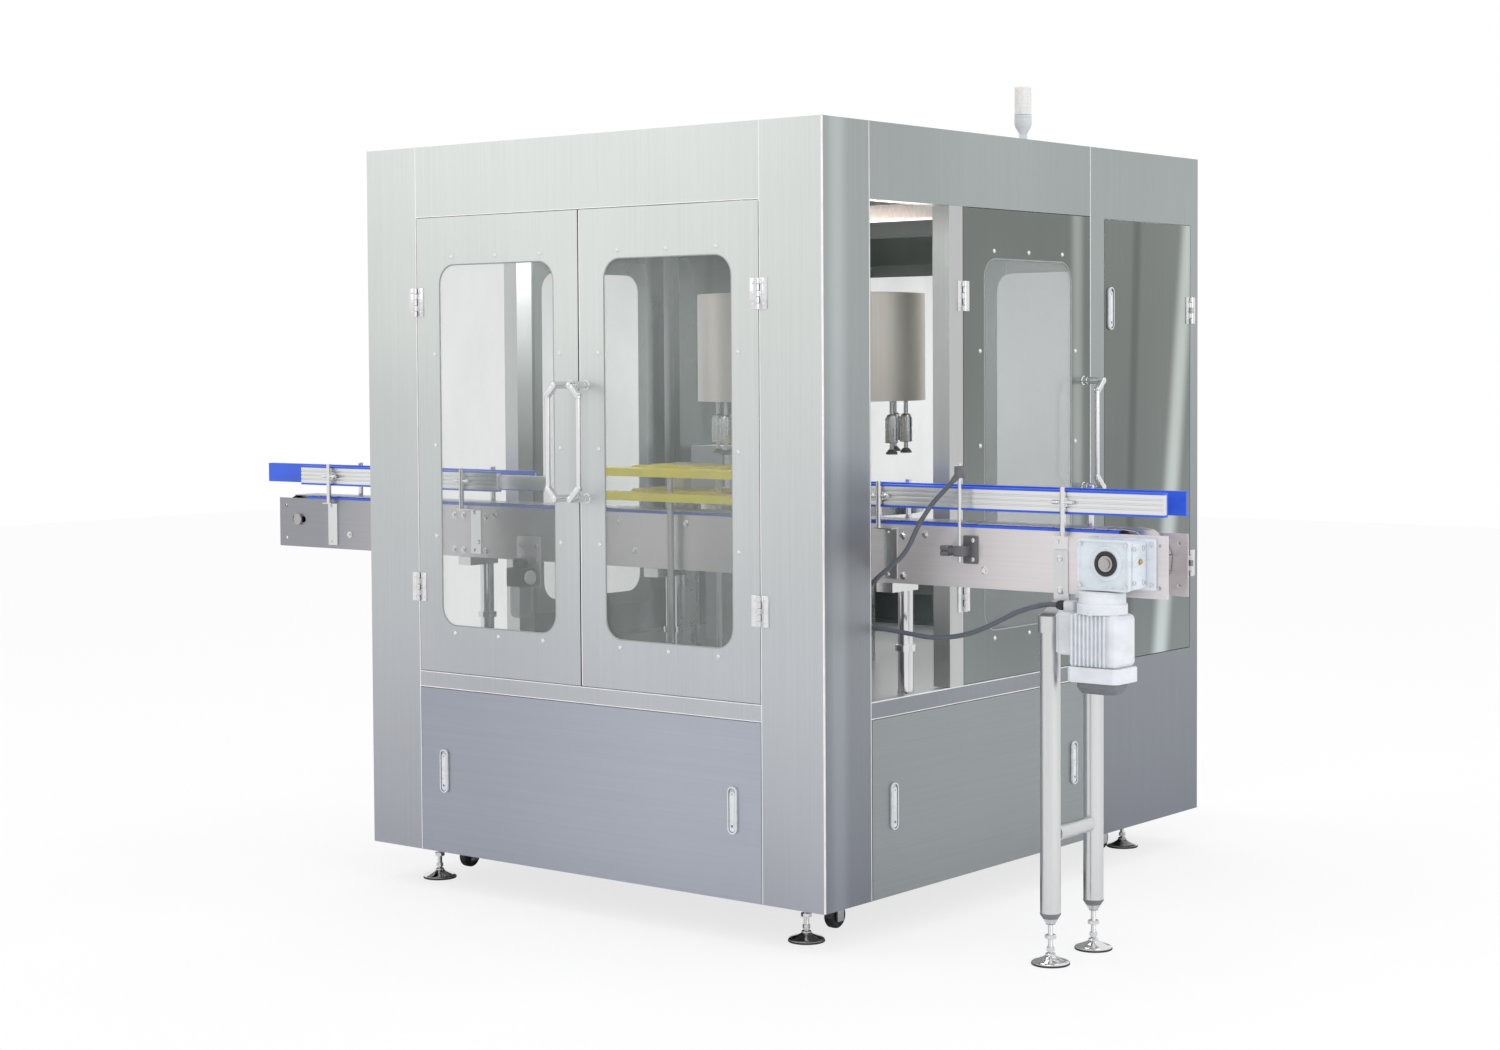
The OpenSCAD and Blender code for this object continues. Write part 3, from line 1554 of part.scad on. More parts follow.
module air_regulator() {
    face = conv_y - conv_w / 2 - seat;
    body_z = air_plate_z - air_body_h;
    color("silver") placed() {
        translate([air_x - air_w / 2, face - air_plate_t, body_z])
            cube([air_w, air_plate_t, air_plate_h + air_body_h]);
        for (x = [-1, 1], k = [1, 3])
            cross_rod(air_x + x * air_w / 3, air_plate_z + k * air_plate_h / 4 - dome_h,
                dome_r + over, face - air_plate_t - dome_h, face);
        translate([air_x - air_body / 2, face - air_plate_t - air_body, body_z])
            cube([air_body, air_body + over, air_body_h]);
        translate([air_x, face - air_y, body_z - bowl_h]) cylinder(h = bowl_h + over, r = bowl_r);
        translate([air_x + air_body / 2 - over, face - air_y, body_z + air_body_h / 2])
            rotate([0, 90, 0]) cylinder(h = gauge_t, r = gauge_r);
    }
}

module inside_lamp() {
    color("white") placed() {
        translate([light_x0, light_y - light_w / 2, light_z])
            cube([light_x1 - light_x0, light_w, light_h]);
        for (x = hanger_x) translate([x, light_y, light_z + light_h - over])
            cylinder(h = ring_top_z + tube - light_z - light_h + over, r = hanger_r);
    }
}

module signal_tower() {
    z = ring_top_z + tube + skin + 2 * seat;
    base = z + pole_h + roof_drop;
    color("whitesmoke") placed() translate([tower_x, tower_y, 0]) {
        translate([0, 0, z]) cylinder(h = tower_foot_h, r = tower_foot_r);
        translate([0, 0, z]) cylinder(h = base - z, r = pole_r);
        translate([0, 0, base]) cylinder(h = tower_base_h / 2, r1 = pole_r, r2 = tower_base_r - over);
        translate([0, 0, base + tower_base_h / 2]) cylinder(h = tower_base_h / 2, r = tower_base_r - over);
        translate([0, 0, base + tower_base_h]) cylinder(h = lamp_h, r = lamp_r);
    }
}

base_frame();
cabinet_frame();
corner_posts();
header_panels();
roof_panel();
sill_ledges();
fixed_panels();
fixed_windows();
hinge_leaves();
front_left_door();
front_left_window();
front_left_fittings();
front_right_door();
front_right_window();
front_right_fittings();
right_door();
right_window();
right_fittings();
narrow_door();
narrow_latch();
front_lower_panel();
front_latches();
right_lower_panel();
right_latches();
foot_front_left();
foot_front_right();
foot_back_left();
foot_back_right();
leg_feet();
front_castor_wheels();
rear_castor_wheels();
conveyor_side_plates();
conveyor_chain();
wear_strips();
guide_rails();
rail_brackets();
support_columns();
leg_stand();
drive_sprocket();
idler_sprocket();
drive_gearbox();
drive_motor();
terminal_box();
sensor_stand();
sensor_cable();
motor_cable();
carousel_column();
head_cover();
turret();
bottle_pressers();
infeed_star();
outfeed_star();
guide_plates();
label_unit();
vacuum_drum();
glue_roller();
label_reel();
air_regulator();
inside_lamp();
signal_tower();
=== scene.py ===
"""Hot melt labelling machine: camera, cables, finishes, fine pieces and studio light.

Lengths in the classes are millimetres from the cabinet's own middle, with Z up from the floor.
`spot` turns them into the frame's metres.
"""

import logging
import math
from collections.abc import Iterable, Sequence
from dataclasses import dataclass
from enum import Enum

import bpy
from mathutils import Matrix, Vector

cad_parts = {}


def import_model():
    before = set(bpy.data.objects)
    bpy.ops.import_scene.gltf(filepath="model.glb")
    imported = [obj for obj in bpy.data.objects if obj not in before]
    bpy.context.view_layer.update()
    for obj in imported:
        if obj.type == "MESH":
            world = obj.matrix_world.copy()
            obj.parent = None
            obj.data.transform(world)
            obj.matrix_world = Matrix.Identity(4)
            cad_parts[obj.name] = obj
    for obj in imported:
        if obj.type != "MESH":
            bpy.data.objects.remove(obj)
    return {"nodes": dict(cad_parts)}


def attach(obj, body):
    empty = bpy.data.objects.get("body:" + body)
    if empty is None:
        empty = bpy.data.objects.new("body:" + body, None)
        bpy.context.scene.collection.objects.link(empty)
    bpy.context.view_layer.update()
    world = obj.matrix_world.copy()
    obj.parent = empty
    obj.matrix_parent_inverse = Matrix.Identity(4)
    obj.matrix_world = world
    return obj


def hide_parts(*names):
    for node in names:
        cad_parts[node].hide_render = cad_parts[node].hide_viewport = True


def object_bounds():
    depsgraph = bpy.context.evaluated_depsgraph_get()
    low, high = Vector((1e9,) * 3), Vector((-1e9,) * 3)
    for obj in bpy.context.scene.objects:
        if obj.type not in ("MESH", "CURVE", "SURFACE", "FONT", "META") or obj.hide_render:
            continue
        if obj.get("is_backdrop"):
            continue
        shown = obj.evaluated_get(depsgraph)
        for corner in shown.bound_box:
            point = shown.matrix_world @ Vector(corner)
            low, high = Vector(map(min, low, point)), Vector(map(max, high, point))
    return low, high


LOG = logging.getLogger("labelling_machine")

MM = 0.001
CABINET_X = 76.0
CABINET_Y = 34.0
HALF_W = 800.0
HALF_D = 935.0
CONVEYOR_Y = -556.0
BELT_Z = 1056.0
DOOR_Z = 608.0
PLATE_FACE = -605.3
SMOOTH_UNDER = math.radians(35)
HEX = 6
# Rise of a step that only changes the radius of a turned piece, in millimetres.
FLAT = 0.01
# Noise values between which every finish fades from one look to the other.
FADE_FROM = 0.3
FADE_TO = 0.7

Point = tuple[float, float, float]
Piece = bpy.types.Object
Socket = bpy.types.NodeSocket
Span = tuple[float, float]


class Axis(Enum):
    """Directions that a turned piece can point."""

    UP = "up"
    DOWN = "down"
    RIGHT = "right"
    LEFT = "left"
    FRONT = "front"
    BACK = "back"


TURNS: dict[Axis, Matrix] = {
    Axis.UP: Matrix.Identity(4),
    Axis.DOWN: Matrix.Rotation(math.pi, 4, "X"),
    Axis.RIGHT: Matrix.Rotation(math.pi / 2, 4, "Y"),
    Axis.LEFT: Matrix.Rotation(-math.pi / 2, 4, "Y"),
    Axis.FRONT: Matrix.Rotation(math.pi / 2, 4, "X"),
    Axis.BACK: Matrix.Rotation(-math.pi / 2, 4, "X"),
}


def spot(x: float, y: float, z: float) -> Vector:
    """Change a place on the machine into the frame's metres.

    Args:
        x: Millimetres along the conveyor from the cabinet's middle.
        y: Millimetres towards the back from the cabinet's middle.
        z: Millimetres above the floor.

    Returns:
        The same place in the frame, in metres.
    """
    return Vector(((x + CABINET_X) * MM, (y + CABINET_Y) * MM, z * MM))


def laid(origin: Point, turn: float = 0.0, mirrored: bool = False) -> Matrix:
    """Give the move that carries a piece from the cabinet's middle to a place on a face.

    Args:
        origin: Where the piece's own origin goes, in millimetres.
        turn: Turn about the upright axis in degrees.
        mirrored: Whether the piece's own x is turned round first.

    Returns:
        The move, in the frame.
    """
    flip = Matrix.Diagonal((-1 if mirrored else 1, 1, 1, 1))
    spun = Matrix.Rotation(math.radians(turn), 4, "Z")
    return Matrix.Translation(spot(*origin)) @ spun @ flip @ Matrix.Translation(-spot(0, 0, 0))


def tipped(origin: Point, angle: float, axis: str) -> Matrix:
    """Give the move that tips a piece about one axis and carries it to a place.

    Args:
        origin: Where the piece's own origin goes, in millimetres.
        angle: The tip in degrees.
        axis: X, Y or Z.

    Returns:
        The move, in the frame.
    """
    tip = Matrix.Rotation(math.radians(angle), 4, axis)
    return Matrix.Translation(spot(*origin)) @ tip @ Matrix.Translation(-spot(0, 0, 0))


def rounded_outline(width: float, height: float, radius: float, steps: int = 8) -> list[Span]:
    """Give the corners of a rounded rectangle whose lower middle is the origin.

    Args:
        width: Whole width.
        height: Whole height.
        radius: Radius of the corners.
        steps: Steps round each corner.

    Returns:
        The outline's points in order.
    """
    half = width / 2 - radius
    centres = (
        (half, radius, -90), (half, height - radius, 0), (-half, height - radius, 90),
        (-half, radius, 180),
    )
    points = []
    for cx, cy, start in centres:
        for k in range(steps + 1):
            angle = math.radians(start + 90 * k / steps)
            points.append((cx + radius * math.cos(angle), cy + radius * math.sin(angle)))
    return points


class Bench:
    """Modelling tools: a primitive at its place, edit-mode work, then applied modifiers."""

    @staticmethod
    def clear() -> None:
        """Leave edit mode and deselect everything."""
        active = bpy.context.view_layer.objects.active
        if active is not None and active.mode != "OBJECT":
            bpy.ops.object.mode_set(mode="OBJECT")
        bpy.ops.object.select_all(action="DESELECT")

    @staticmethod
    def pick(*pieces: Piece) -> None:
        """Select these pieces and make the first one active."""
        Bench.clear()
        for piece in pieces:
            piece.select_set(True)
        bpy.context.view_layer.objects.active = pieces[0]

    @staticmethod
    def settle(piece: Piece, name: str) -> Piece:
        """Put a piece's place, turn and size into its mesh, and name it."""
        Bench.pick(piece)
        bpy.ops.object.transform_apply(location=True, rotation=True, scale=True)
        piece.name = name
        piece.data.name = name
        return piece

    @staticmethod
    def soften(piece: Piece, width: float, segments: int = 2, angle: float = 30.0) -> Piece:
        """Round a piece's edges.

        Args:
            piece: The mesh to round.
            width: Width of the rounding in millimetres.
            segments: Steps across the rounding.
            angle: Only edges sharper than this many degrees are rounded.

        Returns:
            The same piece, shaded smooth between its flats.
        """
        Bench.pick(piece)
        bevel = piece.modifiers.new("rounding", "BEVEL")
        bevel.width = width * MM
        bevel.segments = segments
        bevel.limit_method = "ANGLE"
        bevel.angle_limit = math.radians(angle)
        bevel.use_clamp_overlap = True
        bpy.ops.object.modifier_apply(modifier=bevel.name)
        bpy.ops.object.shade_smooth_by_angle(angle=SMOOTH_UNDER)
        return piece

    @staticmethod
    def block(
        name: str, low: Point, high: Point, rounding: float = 1.0, segments: int = 2
    ) -> Piece:
        """Make a rounded block between two corners.

        Args:
            name: Name of the piece.
            low: Lowest corner in millimetres.
            high: Highest corner in millimetres.
            rounding: Width of the rounded edges in millimetres.
            segments: Steps across each rounded edge.

        Returns:
            The block.
        """
        Bench.clear()
        a, b = spot(*low), spot(*high)
        bpy.ops.mesh.primitive_cube_add(size=1, location=(a + b) / 2)
        piece = bpy.context.object
        piece.scale = b - a
        Bench.settle(piece, name)
        return Bench.soften(piece, rounding, segments)

    @staticmethod
    def turned(
        name: str,
        foot: float,
        steps: Sequence[Span],
        place: Point,
        axis: Axis = Axis.UP,
        sides: int = 40,
        rounding: float = 0.0,
    ) -> Piece:
        """Turn a solid: a disc is pushed out and resized, one step after another.

        Args:
            name: Name of the piece.
            foot: Radius of the first disc in millimetres.
            steps: Rise and new radius of each step, in millimetres.
            place: Middle of the first disc in millimetres.
            axis: Direction that the piece grows in.
            sides: Number of sides of the disc.
            rounding: Width of rounded edges in millimetres, or 0 for none.

        Returns:
            The turned piece.
        """
        Bench.clear()
        bpy.ops.mesh.primitive_circle_add(vertices=sides, radius=foot * MM, fill_type="NGON")
        bpy.ops.object.mode_set(mode="EDIT")
        bpy.ops.mesh.select_all(action="SELECT")
        radius, height = foot, 0.0
        for rise, wide in steps:
            bpy.ops.mesh.extrude_region_move(TRANSFORM_OT_translate={"value": (0, 0, rise * MM)})
            height += rise
            grow = wide / radius
            if abs(grow - 1) > 1e-6:
                bpy.ops.transform.resize(value=(grow, grow, 1), center_override=(0, 0, height * MM))
            radius = wide
        piece = Bench.placed(name, place, axis)
        if rounding:
            return Bench.soften(piece, rounding)
        Bench.pick(piece)
        bpy.ops.object.shade_smooth_by_angle(angle=SMOOTH_UNDER)
        return piece

    @staticmethod
    def hexagon(
        name: str, flange: Span, head: Span, tip: Span, at: Point = (0, 0, 0),
        axis: Axis = Axis.FRONT,
    ) -> Piece:
        """Turn a six-sided bolt head on its flange.

        Args:
            name: Name of the piece.
            flange: Height and radius of the flange in millimetres.
            head: Height and radius of the head's sides.
            tip: Height and end radius of the chamfer.
            at: Middle of the flange's foot in millimetres.
            axis: Direction that the head grows in.

        Returns:
            The bolt head.
        """
        steps = [flange, (FLAT, head[1]), head, tip]
        return Bench.turned(name, flange[1], steps, at, axis, HEX)

    @staticmethod
    def placed(name: str, at: Point, axis: Axis) -> Piece:
        """Leave edit mode with the normals outward, and carry the piece to its place."""
        bpy.ops.mesh.select_all(action="SELECT")
        bpy.ops.mesh.normals_make_consistent(inside=False)
        bpy.ops.object.mode_set(mode="OBJECT")
        piece = bpy.context.object
        piece.matrix_world = Matrix.Translation(spot(*at)) @ TURNS[axis]
        return Bench.settle(piece, name)

    @staticmethod
    def raise_outline(outline: Sequence[Span], thick: float) -> None:
        """Start a plate from its corners and stay in edit mode with its top face picked."""
        Bench.clear()
        bpy.ops.mesh.primitive_circle_add(vertices=len(outline), radius=1, fill_type="NGON")
        for vertex, corner in zip(bpy.context.object.data.vertices, outline):
            vertex.co = (corner[0] * MM, corner[1] * MM, 0)
        bpy.ops.object.mode_set(mode="EDIT")
        bpy.ops.mesh.select_all(action="SELECT")
        bpy.ops.mesh.extrude_region_move(TRANSFORM_OT_translate={"value": (0, 0, thick * MM)})

    @staticmethod
    def plate(
        name: str,
        outline: Sequence[Span],
        at: Point,
        thick: float,
        axis: Axis = Axis.UP,
        rounding: float = 0.8,
    ) -> Piece:
        """Cut a plate from its outline and give it its thickness.

        Args:
            name: Name of the piece.
            outline: Corners in order, in millimetres from `at`.
            at: Place of the outline's own origin in millimetres.
            thick: Thickness in millimetres, along the axis.
            axis: Direction of the thickness.
            rounding: Width of the rounded edges in millimetres.

        Returns:
            The plate.
        """
        Bench.raise_outline(outline, thick)
        return Bench.soften(Bench.placed(name, at, axis), rounding)

    @staticmethod
    def tray(
        name: str,
        outline: Sequence[Span],
        at: Point,
        thick: float,
        rim: float,
        deep: float,
        axis: Axis = Axis.FRONT,
        rounding: float = 0.8,
    ) -> Piece:
        """Cut a plate whose face is sunk inside a rim.

        Args:
            name: Name of the piece.
            outline: Corners in order, in millimetres from `at`.
            at: Place of the outline's own origin in millimetres.
            thick: Thickness of the rim in millimetres, along the axis.
            rim: Width of the rim in millimetres.
            deep: How far the face is sunk, in millimetres.
            axis: Direction of the thickness.
            rounding: Width of the rounded edges in millimetres.

        Returns:
            The tray.
        """
        Bench.raise_outline(outline, thick)
        bpy.ops.mesh.inset(thickness=rim * MM)
        bpy.ops.mesh.extrude_region_move(TRANSFORM_OT_translate={"value": (0, 0, -deep * MM)})
        return Bench.soften(Bench.placed(name, at, axis), rounding)

    @staticmethod
    def rod(name: str, points: Sequence[Point], radius: float, closed: bool = False) -> Piece:
        """Bend a round bar along some points.

        Args:
            name: Name of the piece.
            points: Centre-line points in millimetres.
            radius: Radius of the bar in millimetres.
            closed: Whether the bar is a closed ring.

        Returns:
            The bar as a mesh.
        """
        Bench.clear()
        curve = bpy.data.curves.new(name, "CURVE")
        curve.dimensions = "3D"
        spline = curve.splines.new("POLY")
        spline.points.add(len(points) - 1)
        for node, point in zip(spline.points, points):
            node.co = (*spot(*point), 1)
        spline.use_cyclic_u = closed
        curve.bevel_depth = radius * MM
        curve.bevel_resolution = 4
        curve.use_fill_caps = not closed
        piece = bpy.data.objects.new(name, curve)
        bpy.context.scene.collection.objects.link(piece)
        Bench.pick(piece)
        bpy.ops.object.convert(target="MESH")
        piece = bpy.context.object
        bpy.ops.object.shade_smooth_by_angle(angle=math.radians(45))
        return piece

    @staticmethod
    def joined(name: str, pieces: Iterable[Piece]) -> Piece:
        """Join several meshes into one piece."""
        parts = list(pieces)
        Bench.pick(*parts)
        if len(parts) > 1:
            bpy.ops.object.join()
        piece = bpy.context.object
        piece.name = name
        piece.data.name = name
        return piece

    @staticmethod
    def copied(name: str, piece: Piece, moves: Sequence[Matrix]) -> Piece:
        """Repeat one modelled piece, each copy with its own mesh, and join the copies.

        Args:
            name: Name of the joined piece.
            piece: The piece that is repeated; it goes into the result.
            moves: One move for each copy, in the frame.

        Returns:
            The joined copies.
        """
        copies = []
        for move in moves:
            copy = bpy.data.objects.new(name, piece.data.copy())
            copy.data.transform(move)
            if move.determinant() < 0:
                copy.data.flip_normals()
            bpy.context.scene.collection.objects.link(copy)
            copies.append(copy)
        bpy.data.objects.remove(piece)
        return Bench.joined(name, copies)

    @staticmethod
    def shifted(name: str, piece: Piece, offsets: Sequence[Point]) -> Piece:
        """Repeat a piece at plain offsets in millimetres."""
        return Bench.copied(name, piece, [Matrix.Translation(Vector(o) * MM) for o in offsets])


class NodeSheet:
    """A material's node tree, with short calls for the nodes that the finishes use."""

    def __init__(self, name: str) -> None:
        """Start an empty material with one surface shader."""
        self.material = bpy.data.materials.new(name)
        self.material.use_nodes = True
        self.tree = self.material.node_tree
        self.tree.nodes.clear()
        self.surface = self.add("BsdfPrincipled")
        self.output = self.add("OutputMaterial")
        self.join(self.surface.outputs[0], self.output.inputs["Surface"])
        self.place = self.add("TexCoord").outputs["Object"]

    def add(self, kind: str, **values: float) -> bpy.types.Node:
        """Add a shader node and set plain inputs of it; underscores stand for spaces."""
        node = self.tree.nodes.new("ShaderNode" + kind)
        for key, value in values.items():
            node.inputs[key.replace("_", " ")].default_value = value
        return node

    def join(self, source: Socket, target: Socket) -> None:
        """Link two sockets."""
        self.tree.links.new(source, target)

    def stretched(self, scale: Point) -> Socket:
        """Give the object's own coordinates, stretched by a scale for each axis."""
        node = self.add("Mapping")
        self.join(self.place, node.inputs["Vector"])
        node.inputs["Scale"].default_value = scale
        return node.outputs["Vector"]

    def noise(self, scale: Point, detail: float = 3.0, rough: float = 0.5) -> Socket:
        """Add noise with its own scale for each axis.

        Args:
            scale: Cells to the metre along X, Y and Z.
            detail: Finer octaves.
            rough: Strength of the finer octaves.

        Returns:
            The noise value's socket.
        """
        node = self.add("TexNoise", Scale=1.0, Detail=detail, Roughness=rough)
        self.join(self.stretched(scale), node.inputs["Vector"])
        return node.outputs["Fac"]

    def ranged(self, value: Socket, low: float, high: float) -> Socket:
        """Map a noise value between two numbers."""
        node = self.add("MapRange", From_Min=FADE_FROM, From_Max=FADE_TO, To_Min=low, To_Max=high)
        self.join(value, node.inputs["Value"])
        return node.outputs["Result"]

    def blended(self, value: Socket, first: Point, second: Point) -> Socket:
        """Blend two colours by a noise value."""
        node = self.add("ValToRGB")
        self.join(value, node.inputs["Fac"])
        stops = node.color_ramp.elements
        stops[0].position, stops[0].color = FADE_FROM, (*first, 1)
        stops[1].position, stops[1].color = FADE_TO, (*second, 1)
        return node.outputs["Color"]

    def place_on(self, axis: str) -> Socket:
        """Give the place on one of the object's own axes, in metres."""
        apart = self.add("SeparateXYZ")
        self.join(self.place, apart.inputs[0])
        return apart.outputs[axis]

    def along(self, axis: str, low: float, high: float) -> Socket:
        """Fade along an axis from one place on it to another, in metres."""
        node = self.add("MapRange", From_Min=low, From_Max=high, To_Min=FADE_FROM, To_Max=FADE_TO)
        self.join(self.place_on(axis), node.inputs["Value"])
        return node.outputs["Result"]

    def band(self, middle: float, width: float, lean: float) -> Socket:
        """Give the fade's end on a soft upright band and its start beside it, for a painted
        reflection streak.

        Args:
            middle: Depth of the band's middle in the frame, in metres.
            width: Distance over which it fades, in metres.
            lean: Sideways lean for each metre of height.

        Returns:
            The value's socket.
        """
        steps = []
        for rule, value in (("MULTIPLY_ADD", lean), ("SUBTRACT", middle), ("ABSOLUTE", 0.0)):
            node = self.add("Math")
            node.operation = rule
            node.inputs[1].default_value = value
            steps.append(node)
        self.join(self.place_on("Z"), steps[0].inputs[0])
        self.join(self.place_on("Y"), steps[0].inputs[2])
        self.join(steps[0].outputs[0], steps[1].inputs[0])
        self.join(steps[1].outputs[0], steps[2].inputs[0])
        fade = self.add("MapRange", From_Max=width, To_Min=FADE_TO, To_Max=FADE_FROM)
        fade.interpolation_type = "SMOOTHERSTEP"
        self.join(steps[2].outputs[0], fade.inputs["Value"])
        return fade.outputs["Result"]

    def sideways(self) -> Socket:
        """Give 1 on faces that look along the conveyor and 0 on the others; the mask of the painted
        side shade.
        """
        apart = self.add("SeparateXYZ")
        size = self.add("Math")
        size.operation = "ABSOLUTE"
        self.join(self.add("NewGeometry").outputs["True Normal"], apart.inputs[0])
        self.join(apart.outputs["X"], size.inputs[0])
        return size.outputs[0]

    def multiplied(self, first: Socket, second: Socket) -> Socket:
        """Multiply one colour by another."""
        node = self.add("Mix")
        node.data_type = "RGBA"
        node.blend_type = "MULTIPLY"
        node.inputs[0].default_value = 1.0
        self.join(first, node.inputs[6])
        self.join(second, node.inputs[7])
        return node.outputs[2]

    def bumped(self, value: Socket, strength: float, depth: float) -> None:
        """Raise the surface by a noise value.

        Args:
            value: The height's socket.
            strength: Share of the bump.
            depth: Height in millimetres.
        """
        node = self.add("Bump", Strength=strength, Distance=depth * MM)
        self.join(value, node.inputs["Height"])
        self.feed("Normal", node.outputs["Normal"])

    def feed(self, entry: str, value: Socket) -> None:
        """Lead a value into one of the surface shader's inputs."""
        self.join(value, self.surface.inputs[entry])

    def set(self, **values: float) -> None:
        """Set plain numbers on the surface shader; underscores stand for spaces."""
        for key, value in values.items():
            self.surface.inputs[key.replace("_", " ")].default_value = value


class Grain(Enum):
    """Direction that a sheet was brushed in."""

    UPRIGHT = (140.0, 140.0, 1.6)
    LEVEL = (1.6, 1.6, 160.0)


def darker(colour: Point, share: float) -> Point:
    """Scale a colour."""
    return (colour[0] * share, colour[1] * share, colour[2] * share)


UNTINTED: Point = (1.0, 1.0, 1.0)


@dataclass(frozen=True)
class Finish:
    """A finish with a name and a base colour; each kind adds its own surface detail."""

    name: str
    colour: Point

    def material(self) -> bpy.types.Material:
        """Give the finish's material, built once."""
        known = bpy.data.materials.get(self.name)
        return known if known is not None else self.build()

    def build(self) -> bpy.types.Material:
        """Build the material's nodes."""
        raise NotImplementedError

    def cover(self, sheet: NodeSheet, value: Socket, shades: Span, gloss: Span) -> None:
        """Let one noise value vary the colour and the gloss together.

        Args:
            sheet: The material's nodes.
            value: The noise value.
            shades: Shares of the finish's colour at both ends of the noise.
            gloss: Roughness at both ends of the noise.
        """
        ends = [darker(self.colour, share) for share in shades]
        sheet.feed("Base Color", sheet.blended(value, *ends))
        sheet.feed("Roughness", sheet.ranged(value, *gloss))


@dataclass(frozen=True)
class BrushedSheet(Finish):
    """Brushed stainless sheet: long fine grain, soft clouding that is partly painted reflection, a
    satin sheen, and painted shade and reflection by height, by side, towards the left and in
    upright streaks.
    """

    grain: Grain = Grain.UPRIGHT
    gloss: float = 0.30
    # Depth of the wide clouding, partly the steel's own and partly painted reflection.
    clouds_and_reflection: float = 0.10
    # Painted reflection by height: this colour multiplies the sheet at the bottom of low_span and
    # fades out towards its top.
    painted_low_reflection: Point = UNTINTED
    low_span: Span = (0.15, 1.55)
    # Painted shade: this colour multiplies the faces that look along the conveyor.
    painted_side_shade: Point = UNTINTED
    # Painted shade towards the left: this colour multiplies the sheet left of the start of
    # left_span and fades out at its end.
    painted_left_shade: Point = UNTINTED
    left_span: Span = (-0.9, 0.4)
    # Painted reflection streaks, each as middle, width, lean and gain: soft upright bands that
    # brighten the sheet where the gain is above 1 and darken it where it is below.
    bands: tuple[tuple[float, float, float, float], ...] = ()

    def build(self) -> bpy.types.Material:
        """Build the grain, the clouding, the painted shade and reflection by height, side and left,
        the painted reflection streaks, and the uneven gloss.
        """
        sheet = NodeSheet(self.name)
        lines = sheet.noise(self.grain.value, 4.0, 0.6)
        wide = sheet.noise((1.3, 1.3, 0.9), 2.0, 0.45)
        base = sheet.blended(lines, darker(self.colour, 0.965), darker(self.colour, 1.02))
        tints = [
            sheet.blended(wide, (1 - self.clouds_and_reflection,) * 3, UNTINTED),
            # Painted reflection by height.
            sheet.blended(sheet.along("Z", *self.low_span), self.painted_low_reflection, UNTINTED),
            # Painted shade towards the left.
            sheet.blended(sheet.along("X", *self.left_span), self.painted_left_shade, UNTINTED),
        ]
        # Painted reflection streaks.
        for middle, width, lean, gain in self.bands:
            tints.append(sheet.blended(sheet.band(middle, width, lean), UNTINTED, (gain,) * 3))
        # Painted shade on the faces that look along the conveyor.
        tints.append(sheet.blended(sheet.sideways(), UNTINTED, self.painted_side_shade))
        for tint in tints:
            base = sheet.multiplied(base, tint)
        sheet.feed("Base Color", base)
        sheet.feed("Roughness", sheet.ranged(wide, self.gloss - 0.04, self.gloss + 0.08))
        sheet.bumped(lines, 0.05, 0.15)
        sheet.set(Metallic=1.0)
        return sheet.material


@dataclass(frozen=True)
class BrightMetal(Finish):
    """Polished metal with faint turning marks and handling haze."""

    gloss: float = 0.14

    def build(self) -> bpy.types.Material:
        """Build the marks and the haze."""
        sheet = NodeSheet(self.name)
        marks = sheet.noise((60.0, 60.0, 420.0), 2.0)
        haze = sheet.noise((22.0, 22.0, 22.0), 3.0)
        self.cover(sheet, haze, (0.88, 1.0), (self.gloss, self.gloss + 0.12))
        sheet.bumped(marks, 0.05, 0.2)
        sheet.set(Metallic=1.0)
        return sheet.material


@dataclass(frozen=True)
class Painted(Finish):
    """Sprayed paint over a casting: fine orange peel and a little dust."""

    gloss: float = 0.38
    peel: float = 0.25

    def build(self) -> bpy.types.Material:
        """Build the orange peel and the dust."""
        sheet = NodeSheet(self.name)
        peel = sheet.noise((260.0, 260.0, 260.0), 3.0, 0.6)
        dust = sheet.noise((14.0, 14.0, 26.0), 4.0, 0.6)
        self.cover(sheet, dust, (0.86, 1.0), (self.gloss - 0.06, self.gloss + 0.12))
        sheet.bumped(peel, self.peel, 0.35)
        return sheet.material


@dataclass(frozen=True)
class Moulded(Finish):
    """Moulded or machined plastic: fine texture and slight rub marks."""

    gloss: float = 0.42
    texture: float = 0.15

    def build(self) -> bpy.types.Material:
        """Build the texture and the rub marks."""
        sheet = NodeSheet(self.name)
        fine = sheet.noise((420.0, 420.0, 420.0), 2.0)
        rub = sheet.noise((9.0, 30.0, 30.0), 4.0, 0.65)
        self.cover(sheet, rub, (0.87, 1.06), (self.gloss - 0.08, self.gloss + 0.12))
        sheet.bumped(fine, self.texture, 0.2)
        return sheet.material


